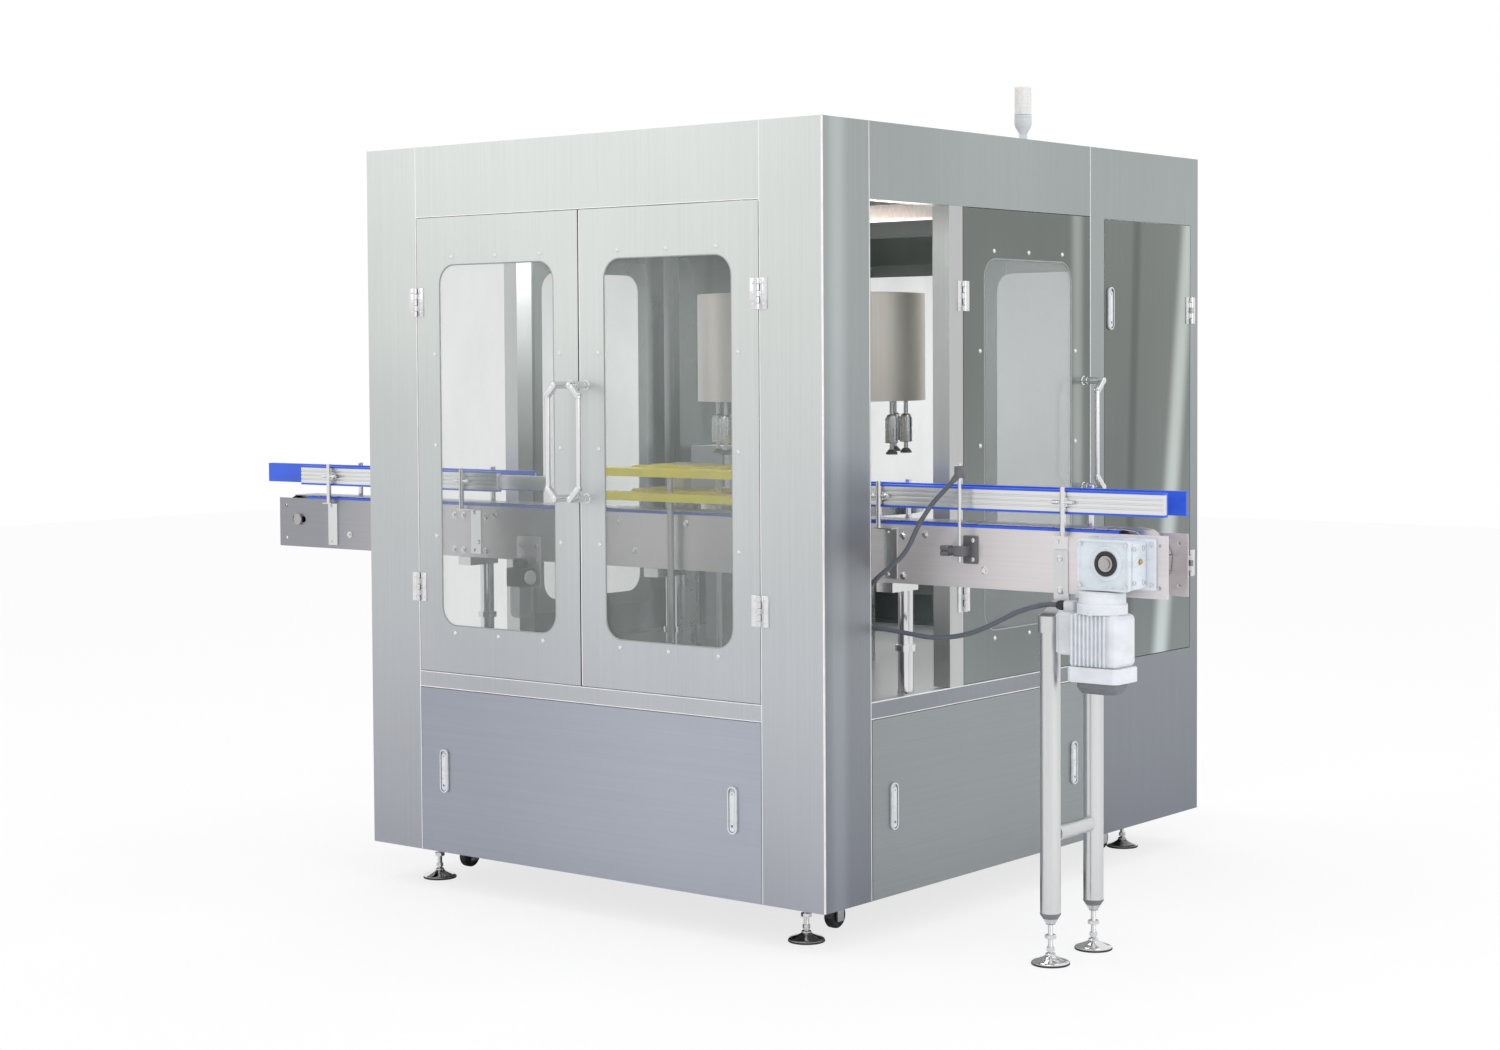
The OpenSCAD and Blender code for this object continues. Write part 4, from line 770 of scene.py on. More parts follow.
@dataclass(frozen=True)
class PlatesOnPosts(Finish):
    """Coloured plates at two levels on bright posts, told apart by height."""

    post: Point = (0.58, 0.58, 0.59)
    levels: tuple[Span, ...] = ((1.0815, 1.1045), (1.1475, 1.1705))
    low: float = 1.0
    high: float = 1.2

    def bands(self, sheet: NodeSheet, between: Point, within: Point) -> Socket:
        """Give one colour within the plates' levels and another between them."""
        rise = sheet.add("MapRange", From_Min=self.low, From_Max=self.high)
        sheet.join(sheet.place_on("Z"), rise.inputs["Value"])
        ramp = sheet.add("ValToRGB")
        sheet.join(rise.outputs["Result"], ramp.inputs["Fac"])
        ramp.color_ramp.interpolation = "CONSTANT"
        stops = ramp.color_ramp.elements
        stops[0].position, stops[0].color = 0.0, (*between, 1)
        stops[1].position, stops[1].color = 1.0, (*between, 1)
        for foot, head in self.levels:
            for level, colour in ((foot, within), (head, between)):
                stop = stops.new((level - self.low) / (self.high - self.low))
                stop.color = (*colour, 1)
        return ramp.outputs["Color"]

    def build(self) -> bpy.types.Material:
        """Build the bands, the fine texture and the rub marks."""
        sheet = NodeSheet(self.name)
        fine = sheet.noise((420.0, 420.0, 420.0), 2.0)
        rub = sheet.noise((9.0, 30.0, 30.0), 4.0, 0.65)
        marks = sheet.blended(rub, darker(UNTINTED, 0.9), UNTINTED)
        base = sheet.multiplied(self.bands(sheet, self.post, self.colour), marks)
        sheet.feed("Base Color", base)
        sheet.feed("Metallic", self.bands(sheet, (1, 1, 1), (0, 0, 0)))
        sheet.feed("Roughness", sheet.ranged(rub, 0.28, 0.42))
        sheet.bumped(fine, 0.1, 0.2)
        return sheet.material


@dataclass(frozen=True)
class ClearPane(Finish):
    """Clear plastic pane with faint wipe marks."""

    veil: float = 0.16

    def build(self) -> bpy.types.Material:
        """Build the veil and the wipe marks."""
        sheet = NodeSheet(self.name)
        wipe = sheet.noise((5.0, 5.0, 2.2), 4.0, 0.6)
        self.cover(sheet, wipe, (0.9, 1.0), (0.03, 0.10))
        sheet.feed("Alpha", sheet.ranged(wipe, self.veil - 0.03, self.veil + 0.05))
        sheet.set(IOR=1.49)
        return sheet.material


@dataclass(frozen=True)
class Opal(Finish):
    """Opal lamp cover that lets some light through."""

    def build(self) -> bpy.types.Material:
        """Build the soft milky surface."""
        sheet = NodeSheet(self.name)
        fine = sheet.noise((180.0, 180.0, 40.0), 2.0)
        self.cover(sheet, fine, (0.94, 1.0), (0.22, 0.34))
        sheet.set(Subsurface_Weight=0.25)
        return sheet.material


class Finishes:
    """The machine's finishes, by what they cover."""

    FRONT_SHEET = BrushedSheet(
        "front_sheet", (0.70, 0.73, 0.71), gloss=0.36, clouds_and_reflection=0.13, painted_low_reflection=(0.62, 0.61, 0.70),
        painted_side_shade=(0.57, 0.59, 0.61), painted_left_shade=(0.92, 0.92, 0.92),
        # Painted highlight streaks on the front steel.
        bands=((-0.84, 0.06, 0.0, 1.3), (-0.1, 0.5, 0.0, 1.08)),
    )
    # Painted shade and reflection: the front's brushed steel made dark for the right side, lighter
    # towards the foot, with painted bright streaks and one dark streak.
    SHADED_SIDE_SHEET = BrushedSheet(
        "shaded_side_sheet", (0.225, 0.245, 0.23), gloss=0.26, clouds_and_reflection=0.3, painted_low_reflection=(1.25, 1.3, 1.4),
        bands=((0.66, 0.075, -0.14, 2.6), (0.28, 0.05, 0.0, 1.9), (0.52, 0.04, -0.05, 0.7)),
    )
    # Darker and bluer than the front sheet: painted shade on the lower panels.
    LOW_SHEET = BrushedSheet(
        "low_sheet", (0.44, 0.465, 0.53), Grain.LEVEL, 0.36, painted_side_shade=(0.76, 0.78, 0.70),
        painted_left_shade=(0.76, 0.77, 0.79),
    )
    FRAME_TUBE = BrushedSheet("frame_tube", (0.56, 0.57, 0.57), gloss=0.32)
    # Its strong painted shade darkens the conveyor plates' left part.
    CONVEYOR_SHEET = BrushedSheet(
        "conveyor_sheet", (0.82, 0.775, 0.785), Grain.LEVEL, 0.44, painted_left_shade=(0.42, 0.455, 0.485),
        left_span=(-1.3, -0.3),
    )
    LEG_TUBE = BrushedSheet("leg_tube", (0.68, 0.685, 0.69), Grain.UPRIGHT, 0.24, 0.06)
    HEAD_SHELL = BrushedSheet("head_shell", (0.70, 0.65, 0.60), Grain.UPRIGHT, 0.40, 0.05)
    SLAT = BrushedSheet("chain_slat", (0.60, 0.58, 0.58), Grain.LEVEL, 0.27)
    BRIGHT = BrightMetal("bright_steel", (0.70, 0.70, 0.71))
    TURNED = BrightMetal("turned_alloy", (0.60, 0.60, 0.61), 0.22)
    DARK_STEEL = BrightMetal("ground_steel", (0.48, 0.46, 0.46), 0.30)
    RAIL = BrightMetal("rail_alloy", (0.80, 0.81, 0.83), 0.32)
    # Painted highlight: near-white metal for the bright lines along seams and edges.
    EDGE_HIGHLIGHT = BrightMetal("painted_edge_highlight", (0.98, 0.96, 0.97), 0.5)
    BRASS = BrightMetal("brass_plug", (0.62, 0.46, 0.22), 0.25)
    PANE = ClearPane("clear_pane", (0.42, 0.46, 0.45), 0.20)
    # Partly the pane's haze, partly painted reflection: a greyer, less clear copy of the clear pane
    # for the right door's window; the regulator's bowl shares it.
    SIDE_PANE = ClearPane("haze_and_reflection_pane", (0.33, 0.36, 0.36), 0.42)
    BLUE = Moulded("blue_strip", (0.035, 0.125, 0.78), 0.40)
    YELLOW = PlatesOnPosts("yellow_plate", (1.0, 0.86, 0.0))
    SEAL = Moulded("window_seal", (0.34, 0.37, 0.36), 0.45)
    PAD = Moulded("presser_pad", (0.16, 0.16, 0.17), 0.45)
    CLAMP = Moulded("clamp_grey", (0.15, 0.15, 0.16), 0.38)
    BLACK = Moulded("black_plastic", (0.022, 0.022, 0.025), 0.42)
    CABLE = Moulded("cable_sheath", (0.105, 0.115, 0.145), 0.42)
    WHITE = Moulded("white_plastic", (0.78, 0.80, 0.82), 0.28, 0.06)
    LENS_BLUE = Moulded("blue_mark", (0.05, 0.30, 0.62), 0.25, 0.04)
    LENS_RED = Moulded("red_mark", (0.55, 0.03, 0.03), 0.25, 0.04)
    GREY_CAP = Moulded("fan_cap", (0.19, 0.195, 0.215), 0.5)
    MOTOR_PAINT = Painted("motor_paint", (0.80, 0.83, 0.88))
    GEAR_PAINT = Painted("gearbox_paint", (0.76, 0.82, 0.88), 0.30, 0.5)
    BOX_PAINT = Painted("box_paint", (0.72, 0.75, 0.78), 0.34)
    TANK_PAINT = Painted("tank_paint", (0.30, 0.31, 0.33), 0.40)
    PAPER = Moulded("label_film", (0.66, 0.70, 0.78), 0.30, 0.05)
    LAMP = Opal("opal_lamp", (0.82, 0.82, 0.81))


NODE_FINISHES: dict[str, Finish] = {
    "base_frame": Finishes.FRAME_TUBE,
    "cabinet_frame": Finishes.FRAME_TUBE,
    "corner_posts": Finishes.FRONT_SHEET,
    "header_panels": Finishes.FRONT_SHEET,
    "roof_panel": Finishes.FRAME_TUBE,
    "sill_ledges": Finishes.FRONT_SHEET,
    "fixed_panels": Finishes.SHADED_SIDE_SHEET,
    "fixed_windows": Finishes.PANE,
    "front_left_door": Finishes.FRONT_SHEET,
    "front_right_door": Finishes.FRONT_SHEET,
    "front_left_window": Finishes.PANE,
    "front_right_window": Finishes.PANE,
    "right_door": Finishes.SHADED_SIDE_SHEET,
    "right_window": Finishes.SIDE_PANE,
    "narrow_door": Finishes.SHADED_SIDE_SHEET,
    "front_lower_panel": Finishes.LOW_SHEET,
    "right_lower_panel": Finishes.LOW_SHEET,
    "conveyor_side_plates": Finishes.CONVEYOR_SHEET,
    "wear_strips": Finishes.BLUE,
    "guide_rails": Finishes.RAIL,
    "rail_brackets": Finishes.BRIGHT,
    "support_columns": Finishes.BRIGHT,
    "leg_stand": Finishes.LEG_TUBE,
    "drive_sprocket": Finishes.DARK_STEEL,
    "idler_sprocket": Finishes.DARK_STEEL,
    "drive_motor": Finishes.MOTOR_PAINT,
    "carousel_column": Finishes.TURNED,
    "head_cover": Finishes.HEAD_SHELL,
    "turret": Finishes.TURNED,
    "infeed_star": Finishes.YELLOW,
    "outfeed_star": Finishes.YELLOW,
    "guide_plates": Finishes.YELLOW,
    "label_unit": Finishes.TANK_PAINT,
    "vacuum_drum": Finishes.DARK_STEEL,
    "glue_roller": Finishes.TURNED,
    "label_reel": Finishes.PAPER,
}


def dress(
    piece: Piece,
    body: str,
    finish: Finish,
    replaces: Sequence[str] = (),
) -> Piece:
    """Give a piece its finish, its body and the nodes that it stands for.

    Args:
        piece: The finished mesh.
        body: The body that it moves with.
        finish: The finish that covers it.
        replaces: Names of the nodes that it replaces.

    Returns:
        The same piece.
    """
    piece.data.materials.clear()
    piece.data.materials.append(finish.material())
    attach(piece, body)
    if replaces:
        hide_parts(*replaces)
    LOG.info("%s on %s", piece.name, body)
    return piece


@dataclass
class Viewpoint:
    """The camera, placed as the machine's vanishing lines give it."""

    place: Point = (4506.2, -5855.3, 1463.5)
    azimuth: float = 38.7
    pitch: float = 2.332
    roll: float = -0.333
    focal: float = 60.87
    sensor: float = 36.0
    shift_x: float = 0.0019
    shift_y: float = -0.0411
    far: float = 60.0

    def build(self) -> None:
        """Make the camera and set it as the scene's own."""
        lens = bpy.data.cameras.new("view")
        lens.lens = self.focal
        lens.sensor_width = self.sensor
        lens.shift_x = self.shift_x
        lens.shift_y = self.shift_y
        lens.clip_end = self.far
        camera = bpy.data.objects.new("view", lens)
        bpy.context.scene.collection.objects.link(camera)
        camera.matrix_world = (
            Matrix.Translation(spot(*self.place))
            @ Matrix.Rotation(math.radians(self.azimuth), 4, "Z")
            @ Matrix.Rotation(math.radians(90 - self.pitch), 4, "X")
            @ Matrix.Rotation(math.radians(self.roll), 4, "Z")
        )
        bpy.context.scene.camera = camera


@dataclass(frozen=True)
class SoftLamp:
    """One square lamp: its place and aim in millimetres, its side in metres, its power in watts."""

    name: str
    place: Point
    aim: Point
    side: float
    power: float

    def hang(self) -> None:
        """Hang the lamp at its place, facing its aim."""
        data = bpy.data.lights.new(self.name, "AREA")
        data.size = self.side
        data.energy = self.power
        lamp = bpy.data.objects.new(self.name, data)
        bpy.context.scene.collection.objects.link(lamp)
        turn = (spot(*self.aim) - spot(*self.place)).to_track_quat("-Z", "Y")
        lamp.matrix_world = Matrix.Translation(spot(*self.place)) @ turn.to_matrix().to_4x4()


@dataclass
class Studio:
    """Plain pale floor, pale surroundings and soft lamps."""

    floor_size: float = 30.0
    floor_white: float = 0.95
    floor_glow: float = 0.76
    surround: float = 0.93
    lamps: tuple[SoftLamp, ...] = (
        SoftLamp("key_lamp", (-4600, -5200, 3600), (0, 0, 1000), 3.0, 14.0),
        SoftLamp("fill_lamp", (5200, -1500, 2600), (0, 0, 1000), 3.0, 34.0),
        SoftLamp("top_lamp", (0, 0, 5200), (0, 0, 1000), 4.0, 40.0),
        SoftLamp("inside_glow", (100, 60, 1845), (100, 0, 900), 0.7, 34.0),
    )

    def floor(self) -> None:
        """Lay the floor, a little below the machine's discs."""
        Bench.clear()
        bpy.ops.mesh.primitive_plane_add(size=self.floor_size, location=(0, 0, -0.0005))
        floor = bpy.context.object
        floor.name = "studio_floor"
        sheet = NodeSheet("floor_paint")
        sheet.set(Roughness=0.9)
        sheet.surface.inputs["Base Color"].default_value = (*[self.floor_white] * 3, 1)
        share = sheet.add("Math")
        share.operation = "MULTIPLY"
        share.inputs[1].default_value = self.floor_glow
        mix = sheet.add("MixShader")
        sheet.join(sheet.add("LightPath").outputs["Is Camera Ray"], share.inputs[0])
        sheet.join(share.outputs[0], mix.inputs["Fac"])
        sheet.join(sheet.surface.outputs[0], mix.inputs[1])
        sheet.join(sheet.add("Emission", Strength=1.0).outputs[0], mix.inputs[2])
        sheet.join(mix.outputs[0], sheet.output.inputs["Surface"])
        floor.data.materials.append(sheet.material)
        floor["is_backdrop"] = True

    def surroundings(self) -> None:
        """Light the scene from a pale room that shows white behind the machine."""
        world = bpy.data.worlds.new("pale_room")
        bpy.context.scene.world = world
        world.use_nodes = True
        tree = world.node_tree
        tree.nodes.clear()
        output = tree.nodes.new("ShaderNodeOutputWorld")
        plain = tree.nodes.new("ShaderNodeBackground")
        plain.inputs["Strength"].default_value = self.surround
        shown = tree.nodes.new("ShaderNodeBackground")
        shown.inputs["Strength"].default_value = 1.0
        for node in (plain, shown):
            node.inputs["Color"].default_value = (1, 1, 1, 1)
        path = tree.nodes.new("ShaderNodeLightPath")
        seen = tree.nodes.new("ShaderNodeMath")
        seen.operation = "MAXIMUM"
        either = tree.nodes.new("ShaderNodeMath")
        either.operation = "MAXIMUM"
        tree.links.new(path.outputs["Is Camera Ray"], seen.inputs[0])
        tree.links.new(path.outputs["Is Glossy Ray"], seen.inputs[1])
        tree.links.new(seen.outputs[0], either.inputs[0])
        tree.links.new(path.outputs["Is Transmission Ray"], either.inputs[1])
        mix = tree.nodes.new("ShaderNodeMixShader")
        tree.links.new(either.outputs[0], mix.inputs["Fac"])
        tree.links.new(plain.outputs[0], mix.inputs[1])
        tree.links.new(shown.outputs[0], mix.inputs[2])
        tree.links.new(mix.outputs[0], output.inputs["Surface"])

    def build(self) -> None:
        """Set the floor, the surroundings, the lamps and the view transform."""
        self.floor()
        self.surroundings()
        for lamp in self.lamps:
            lamp.hang()
        bpy.context.scene.view_settings.view_transform = "Standard"


@dataclass
class Cables:
    """The two free cables: from the sensor head and from the motor down to the table's glands."""

    radius: float = 6.0
    fineness: int = 8
    sensor_points: tuple[Point, ...] = (
        (984.7, -646, 1161.7), (972, -647, 1149), (956, -651, 1132), (935, -657, 1109),
        (917, -663, 1083), (901, -669, 1056), (888, -675, 1027), (875, -682, 996),
        (857, -687, 971), (833, -691, 950), (781, -696, 908), (744, -697, 866),
        (719, -695, 810), (705, -691, 740), (700, -690, 680), (700, -690, 626),
    )
    motor_points: tuple[Point, ...] = (
        (1292, -655, 872), (1268, -656, 872), (1236, -659, 866), (1186, -665, 850),
        (1122, -672, 818), (1060, -677, 792), (997, -683, 778), (941, -688, 775),
        (881, -694, 781), (803, -700, 788), (750, -704, 782), (708, -706, 752),
        (678, -704, 712), (663, -701, 670), (660, -700, 626),
    )

    def centre_line(self, points: Sequence[Point]) -> list[Vector]:
        """Run a smooth line through the route's points.

        Args:
            points: The route in millimetres.

        Returns:
            Close points along the smooth line, in the frame's metres.
        """
        route = [spot(*p) for p in points]
        line: list[Vector] = []
        for i in range(len(route) - 1):
            a, b = route[max(i - 1, 0)], route[i]
            c, d = route[i + 1], route[min(i + 2, len(route) - 1)]
            for k in range(self.fineness):
                t = k / self.fineness
                line.append(
                    0.5
                    * (2 * b + (c - a) * t + (2 * a - 5 * b + 4 * c - d) * t * t
                       + (3 * b - a - 3 * c + d) * t * t * t)
                )
        line.append(route[-1])
        return line

    def cable(self, node: str, points: Sequence[Point]) -> None:
        """Args:
            node: The node that it replaces.
            points: The route in millimetres.
        """
        line = self.centre_line(points)
        curve = bpy.data.curves.new(node + "_sheath", "CURVE")
        curve.dimensions = "3D"
        spline = curve.splines.new("POLY")
        spline.points.add(len(line) - 1)
        for knot, point in zip(spline.points, line):
            knot.co = (*point, 1)
        curve.bevel_depth = self.radius * MM
        curve.bevel_resolution = 4
        curve.use_fill_caps = True
        piece = bpy.data.objects.new(node + "_sheath", curve)
        bpy.context.scene.collection.objects.link(piece)
        dress(piece, "cabinet", Finishes.CABLE, [node])

    def build(self) -> None:
        """Lay both cables."""
        self.cable("sensor_cable", self.sensor_points)
        self.cable("motor_cable", self.motor_points)


@dataclass(frozen=True)
class DoorPlan:
    """One hinged door: its own frame has x from the hinge, y into the cabinet and z up."""

    body: str
    fittings: str
    corner: Point
    turn: float
    mirrored: bool
    width: float
    window_in: float
    handle_in: float
    height: float = 1251.0
    window_end: float = 129.0
    window_r: float = 55.0

    def move(self) -> Matrix:
        """Give the move from the cabinet's middle to this door's foot corner."""
        return laid(self.corner, self.turn, self.mirrored)


DOORS = (
    DoorPlan("front_left_door", "front_left_fittings", (-603, -935, DOOR_Z), 0, False, 601, 86, 25),
    DoorPlan("front_right_door", "front_right_fittings", (603, -935, DOOR_Z), 0, True, 601, 86, 25),
    DoorPlan("right_door", "right_fittings", (800, -323, DOOR_Z), 90, False, 637, 98, 38),
)


@dataclass
class Hinge:
    """Five-knuckle hinge about the upright axis: post at -x, door at +x, face at y = 6."""

    height: float = 79.0
    leaf: float = 27.0
    thick: float = 2.5
    out: float = 6.0
    barrel: float = 5.5
    knuckles: int = 5
    gap: float = 0.4

    def side(self, name: str, moving: bool) -> Piece:
        """Model one leaf with its knuckles and screws.

        Args:
            name: Name of the piece.
            moving: Whether it is the door's leaf.

        Returns:
            The leaf about the cabinet's middle, at z = 0.
        """
        way = 1 if moving else -1
        near = self.barrel + 0.3
        xs = sorted((way * near, way * self.leaf))
        low = (xs[0], self.out - self.thick, 0)
        parts = [Bench.block(name, low, (xs[1], self.out, self.height), 0.9)]
        share = self.height / self.knuckles
        for k in range(1 if moving else 0, self.knuckles, 2):
            foot = k * share + self.gap
            rise = share - 2 * self.gap
            parts.append(
                Bench.turned(
                    name, self.barrel - 0.6, [(0.6, self.barrel), (rise - 1.2, self.barrel),
                                              (0.6, self.barrel - 0.6)], (0, 0, foot), sides=24,
                )
            )
            tab = sorted((way * 2.0, way * (near + 1)))
            parts.append(
                Bench.block(name, (tab[0], self.out - self.thick, foot),
                            (tab[1], self.out - 0.5, foot + rise), 0.4, 1)
            )
        screw = Bench.turned(
            name, 4.4, [(0.5, 4.2), (0.35, 3.3), (FLAT, 1.8), (-0.5, 1.4)],
            (way * (near + self.leaf) / 2, self.out - self.thick, self.height / 2),
            Axis.FRONT, 16,
        )
        reach = 0.34 * self.height
        parts.append(Bench.shifted(name, screw, [(0, 0, -reach), (0, 0, 0), (0, 0, reach)]))
        return Bench.joined(name, parts)

    def pair(self, name: str, moving: bool, heights: Span) -> Piece:
        """Model one leaf and set it at two heights beside a door's hinge line."""
        leaf = self.side(name, moving)
        return Bench.copied(name, leaf, [laid((-1, -self.out, z)) for z in heights])


@dataclass
class DoorHardware:
    """Pull handles, window screws, window seals and hinges of the doors."""

    handle_z: float = 496.0
    handle_h: float = 297.0
    grip_off: float = 62.5
    grip_side: float = 27.0
    screw_out: float = 19.0
    screw_in: float = 49.5
    hinge_in: float = 192.0
    narrow_corner: Point = (800, 888, 597)
    narrow_h: float = 1258.0
    narrow_hinge_in: float = 212.0

    def handle(self) -> Piece:
        """Model one C-shaped pull handle: arms at x = 0 and the grip off to -x."""
        name = "pull_handle"
        arm = Bench.turned(
            name, 13.0,
            [
                (3, 13), (1.5, 10.4), (12, 10.0), (0.8, 9.0), (1.2, 9.0), (0.8, 10.0), (48.2, 9.5),
                (3, 8.4), (1.5, 5.5),
            ],
            (0, 0, 0), Axis.FRONT, 32,
        )
        arms = Bench.shifted(name, arm, [(0, 0, 0), (0, 0, self.handle_h)])
        link = Bench.block(name, (-7.5, -8.5, -7), (7.5, 8.5, 43), 2.6, 3)
        links = Bench.copied(
            name, link,
            [
                tipped((0, -self.grip_off, 0), -45, "Y"),
                tipped((0, -self.grip_off, self.handle_h), -135, "Y"),
            ],
        )
        grip = Bench.turned(
            name, 6.2,
            [(1.5, 8), (12, 8), (1.5, 6.8), (self.handle_h - 2 * self.grip_side - 30 + 14, 6.8),
             (1.5, 8), (12, 8), (1.5, 6.2)],
            (-self.grip_side, -self.grip_off, self.grip_side - 7), Axis.UP, 28,
        )
        return Bench.joined(name, [arms, links, grip])

    def window_screws(self, plan: DoorPlan) -> Piece:
        """Model the dome screws round one door's window."""
        name = "dome_screw"
        screw = Bench.turned(
            name, 6.2, [(0.7, 6.0), (0.2, 5.3), (0.9, 5.0), (1.3, 4.0), (0.7, 2.2)],
            (0, 0, 0), Axis.FRONT, 16,
        )
        low = plan.window_end - self.screw_out
        high = plan.height - low
        side = plan.window_in + self.screw_in
        rows = [(x, 0.0, z) for z in (low, high) for x in (side, plan.width / 2, plan.width - side)]
        edge = plan.window_in - self.screw_out
        columns = [
            (x, 0.0, plan.height / 2 + k * plan.height / 5)
            for x in (edge, plan.width - edge)
            for k in (-1, 0, 1)
        ]
        return Bench.shifted(name, screw, rows + columns)

    def seal(self, plan: DoorPlan) -> Piece:
        """Run the seal round one door's window opening."""
        wide = plan.width - 2 * plan.window_in - 3
        tall = plan.height - 2 * plan.window_end - 3
        outline = rounded_outline(wide, tall, plan.window_r - 1.5)
        points = [(x + plan.width / 2, 1.4, z + plan.window_end + 1.5) for x, z in outline]
        return Bench.rod("window_seal", points, 2.0, closed=True)

    def build(self) -> None:
        """Fit every door and the post side of every hinge."""
        hinge = Hinge()
        posts = []
        for plan in DOORS:
            fittings = [self.window_screws(plan)]
            handle = self.handle()
            fittings.append(
                Bench.copied(
                    "pull_handle", handle, [laid((plan.width - plan.handle_in, 0, self.handle_z))]
                )
            )
            heights = (self.hinge_in, plan.height - self.hinge_in - hinge.height)
            fittings.append(hinge.pair("door_leaf", True, heights))
            fixed = hinge.pair("post_leaf", False, heights)
            posts.append(Bench.copied("post_leaf", fixed, [plan.move()]))
            joined = Bench.joined("fittings", fittings)
            piece = Bench.copied(plan.fittings + "_fine", joined, [plan.move()])
            dress(piece, plan.body, Finishes.BRIGHT, [plan.fittings])
            seal = Bench.copied(plan.body + "_seal", self.seal(plan), [plan.move()])
            dress(seal, plan.body, Finishes.SEAL)
        narrow = laid(self.narrow_corner, 90, True)
        heights = (self.narrow_hinge_in, self.narrow_h - self.narrow_hinge_in - hinge.height)
        fixed = hinge.pair("post_leaf", False, heights)
        posts.append(Bench.copied("post_leaf", fixed, [narrow]))
        leaves = Bench.joined("hinge_posts_fine", posts)
        dress(leaves, "cabinet", Finishes.BRIGHT, ["hinge_leaves"])
        hinge.thick += 0.3
        hinge.barrel += 0.2
        moving = hinge.pair("narrow_hinges_fine", True, heights)
        moving = Bench.copied("narrow_hinges_fine", moving, [narrow])
        dress(moving, "narrow_door", Finishes.BRIGHT)


@dataclass
class SeamBeads:
    """Painted highlights: near-white beads along the seams, on the fixed parts and on one door's
    closing edge, for the bright lines where the edges catch the light.
    """

    width: float = 2.8
    raised: float = 0.3
    depth: float = 6.0
    foot: float = 106.0
    head: float = 2054.0
    front_seam: float = 604.6
    front_levels: tuple[float, ...] = (561.6, 603.4, 1860.8)
    side_levels: tuple[float, ...] = (561.6, 603.4)
    side_seams: tuple[float, ...] = (-740.6, 315.4)
    door_edge: float = 2.2
    door_foot: float = 610.0
    door_head: float = 1856.0

    def front(self, low: Span, high: Span) -> Piece:
        """Lay one bead on the front, from one (x, z) corner to the other."""
        face = -HALF_D - self.raised
        return Bench.block(
            "bead", (low[0], face, low[1]), (high[0], face + self.depth, high[1]), 0.5, 1
        )

    def side(self, low: Span, high: Span) -> Piece:
        """Lay one bead on the right side, from one (y, z) corner to the other."""
        face = HALF_W + self.raised
        return Bench.block(
            "bead", (face - self.depth, low[0], low[1]), (face, high[0], high[1]), 0.5, 1
        )

    def build(self) -> None:
        """Lay the beads along the seams of the front and the right side, and up the corner."""
        seam, wide = self.front_seam, self.width
        beads = [
            self.front((x, self.foot), (x + wide, self.head))
            for x in (-seam - wide, seam, HALF_W + self.raised - wide)
        ]
        beads += [self.front((-seam, z), (seam, z + wide)) for z in self.front_levels]
        beads += [
            self.side((self.side_seams[0] + wide, z), (self.side_seams[1], z + wide))
            for z in self.side_levels
        ]
        beads += [self.side((y, self.foot), (y + wide, self.head)) for y in self.side_seams]
        # Painted highlights along the seams and up the corner.
        dress(Bench.joined("seam_highlight_beads", beads), "cabinet", Finishes.EDGE_HIGHLIGHT)
        # Painted highlight on the door's closing edge.
        edge_glint = self.front((self.door_edge, self.door_foot), (self.door_edge + wide, self.door_head))
        edge_glint.name = "door_edge_highlight"
        dress(edge_glint, "front_right_door", Finishes.EDGE_HIGHLIGHT)


@dataclass(frozen=True)
class LatchPlan:
    """One group of flush latches: where they are and what they ride on."""

    name: str
    panel: str
    lever_body: str
    lever_node: str
    origins: tuple[Point, ...]
    turn: float


LATCHES = (
    LatchPlan("front", "front_lower_panel", "front_latches", "front_latches",
              ((-513, -935, 272.5), (513, -935, 272.5)), 0),
    LatchPlan("right", "right_lower_panel", "right_latches", "right_latches",
              ((800, -644, 272.5), (800, 224, 272.5)), 90),
    LatchPlan("narrow", "narrow_door", "narrow_latch", "narrow_latch", ((800, 424, 1544),), 90),
)


@dataclass
class PanelLatches:
    """Flush capsule latches: a tray on the panel, a lever in it and a blue mark."""

    width: float = 28.4
    height: float = 120.4
    tray_t: float = 6.2
    rim: float = 3.6
    lever_w: float = 18.6
    lever_h: float = 104.0
    lever_z: float = 5.0

    def build(self) -> None:
        """Model the tray, the lever and the marks once and lay them on every panel."""
        for plan in LATCHES:
            moves = [laid(origin, plan.turn) for origin in plan.origins]
            outline = rounded_outline(self.width, self.height, self.width / 2 - 0.2)
            tray = Bench.tray("latch_tray", outline, (0, -0.3, -0.2), self.tray_t, self.rim, 4.8)
            tray = Bench.copied(plan.name + "_latch_trays", tray, moves)
            dress(tray, plan.panel, Finishes.WHITE)
            outline = rounded_outline(self.lever_w, self.lever_h, self.lever_w / 2 - 0.2)
            lever = Bench.plate(
                "latch_lever", outline, (0, -1.5, self.lever_z), 3.6, Axis.FRONT, 1.2
            )
            lever = Bench.copied(plan.name + "_latch_levers", lever, moves)
            dress(lever, plan.lever_body, Finishes.WHITE, [plan.lever_node])
            mark = Bench.turned(
                "latch_mark", 3.6, [(0.6, 3.6), (0.3, 2.8)], (0, -5.1, 20), Axis.FRONT, 20
            )
            mark = Bench.copied(plan.name + "_latch_marks", mark, moves)
            dress(mark, plan.lever_body, Finishes.LENS_BLUE)
            key = Bench.turned(
                "latch_key", 2.4, [(0.5, 2.4), (0.2, 1.8)], (0, -5.1, 101), Axis.FRONT, 16
            )
            key = Bench.copied(plan.name + "_latch_keys", key, moves)
            dress(key, plan.lever_body, Finishes.DARK_STEEL)


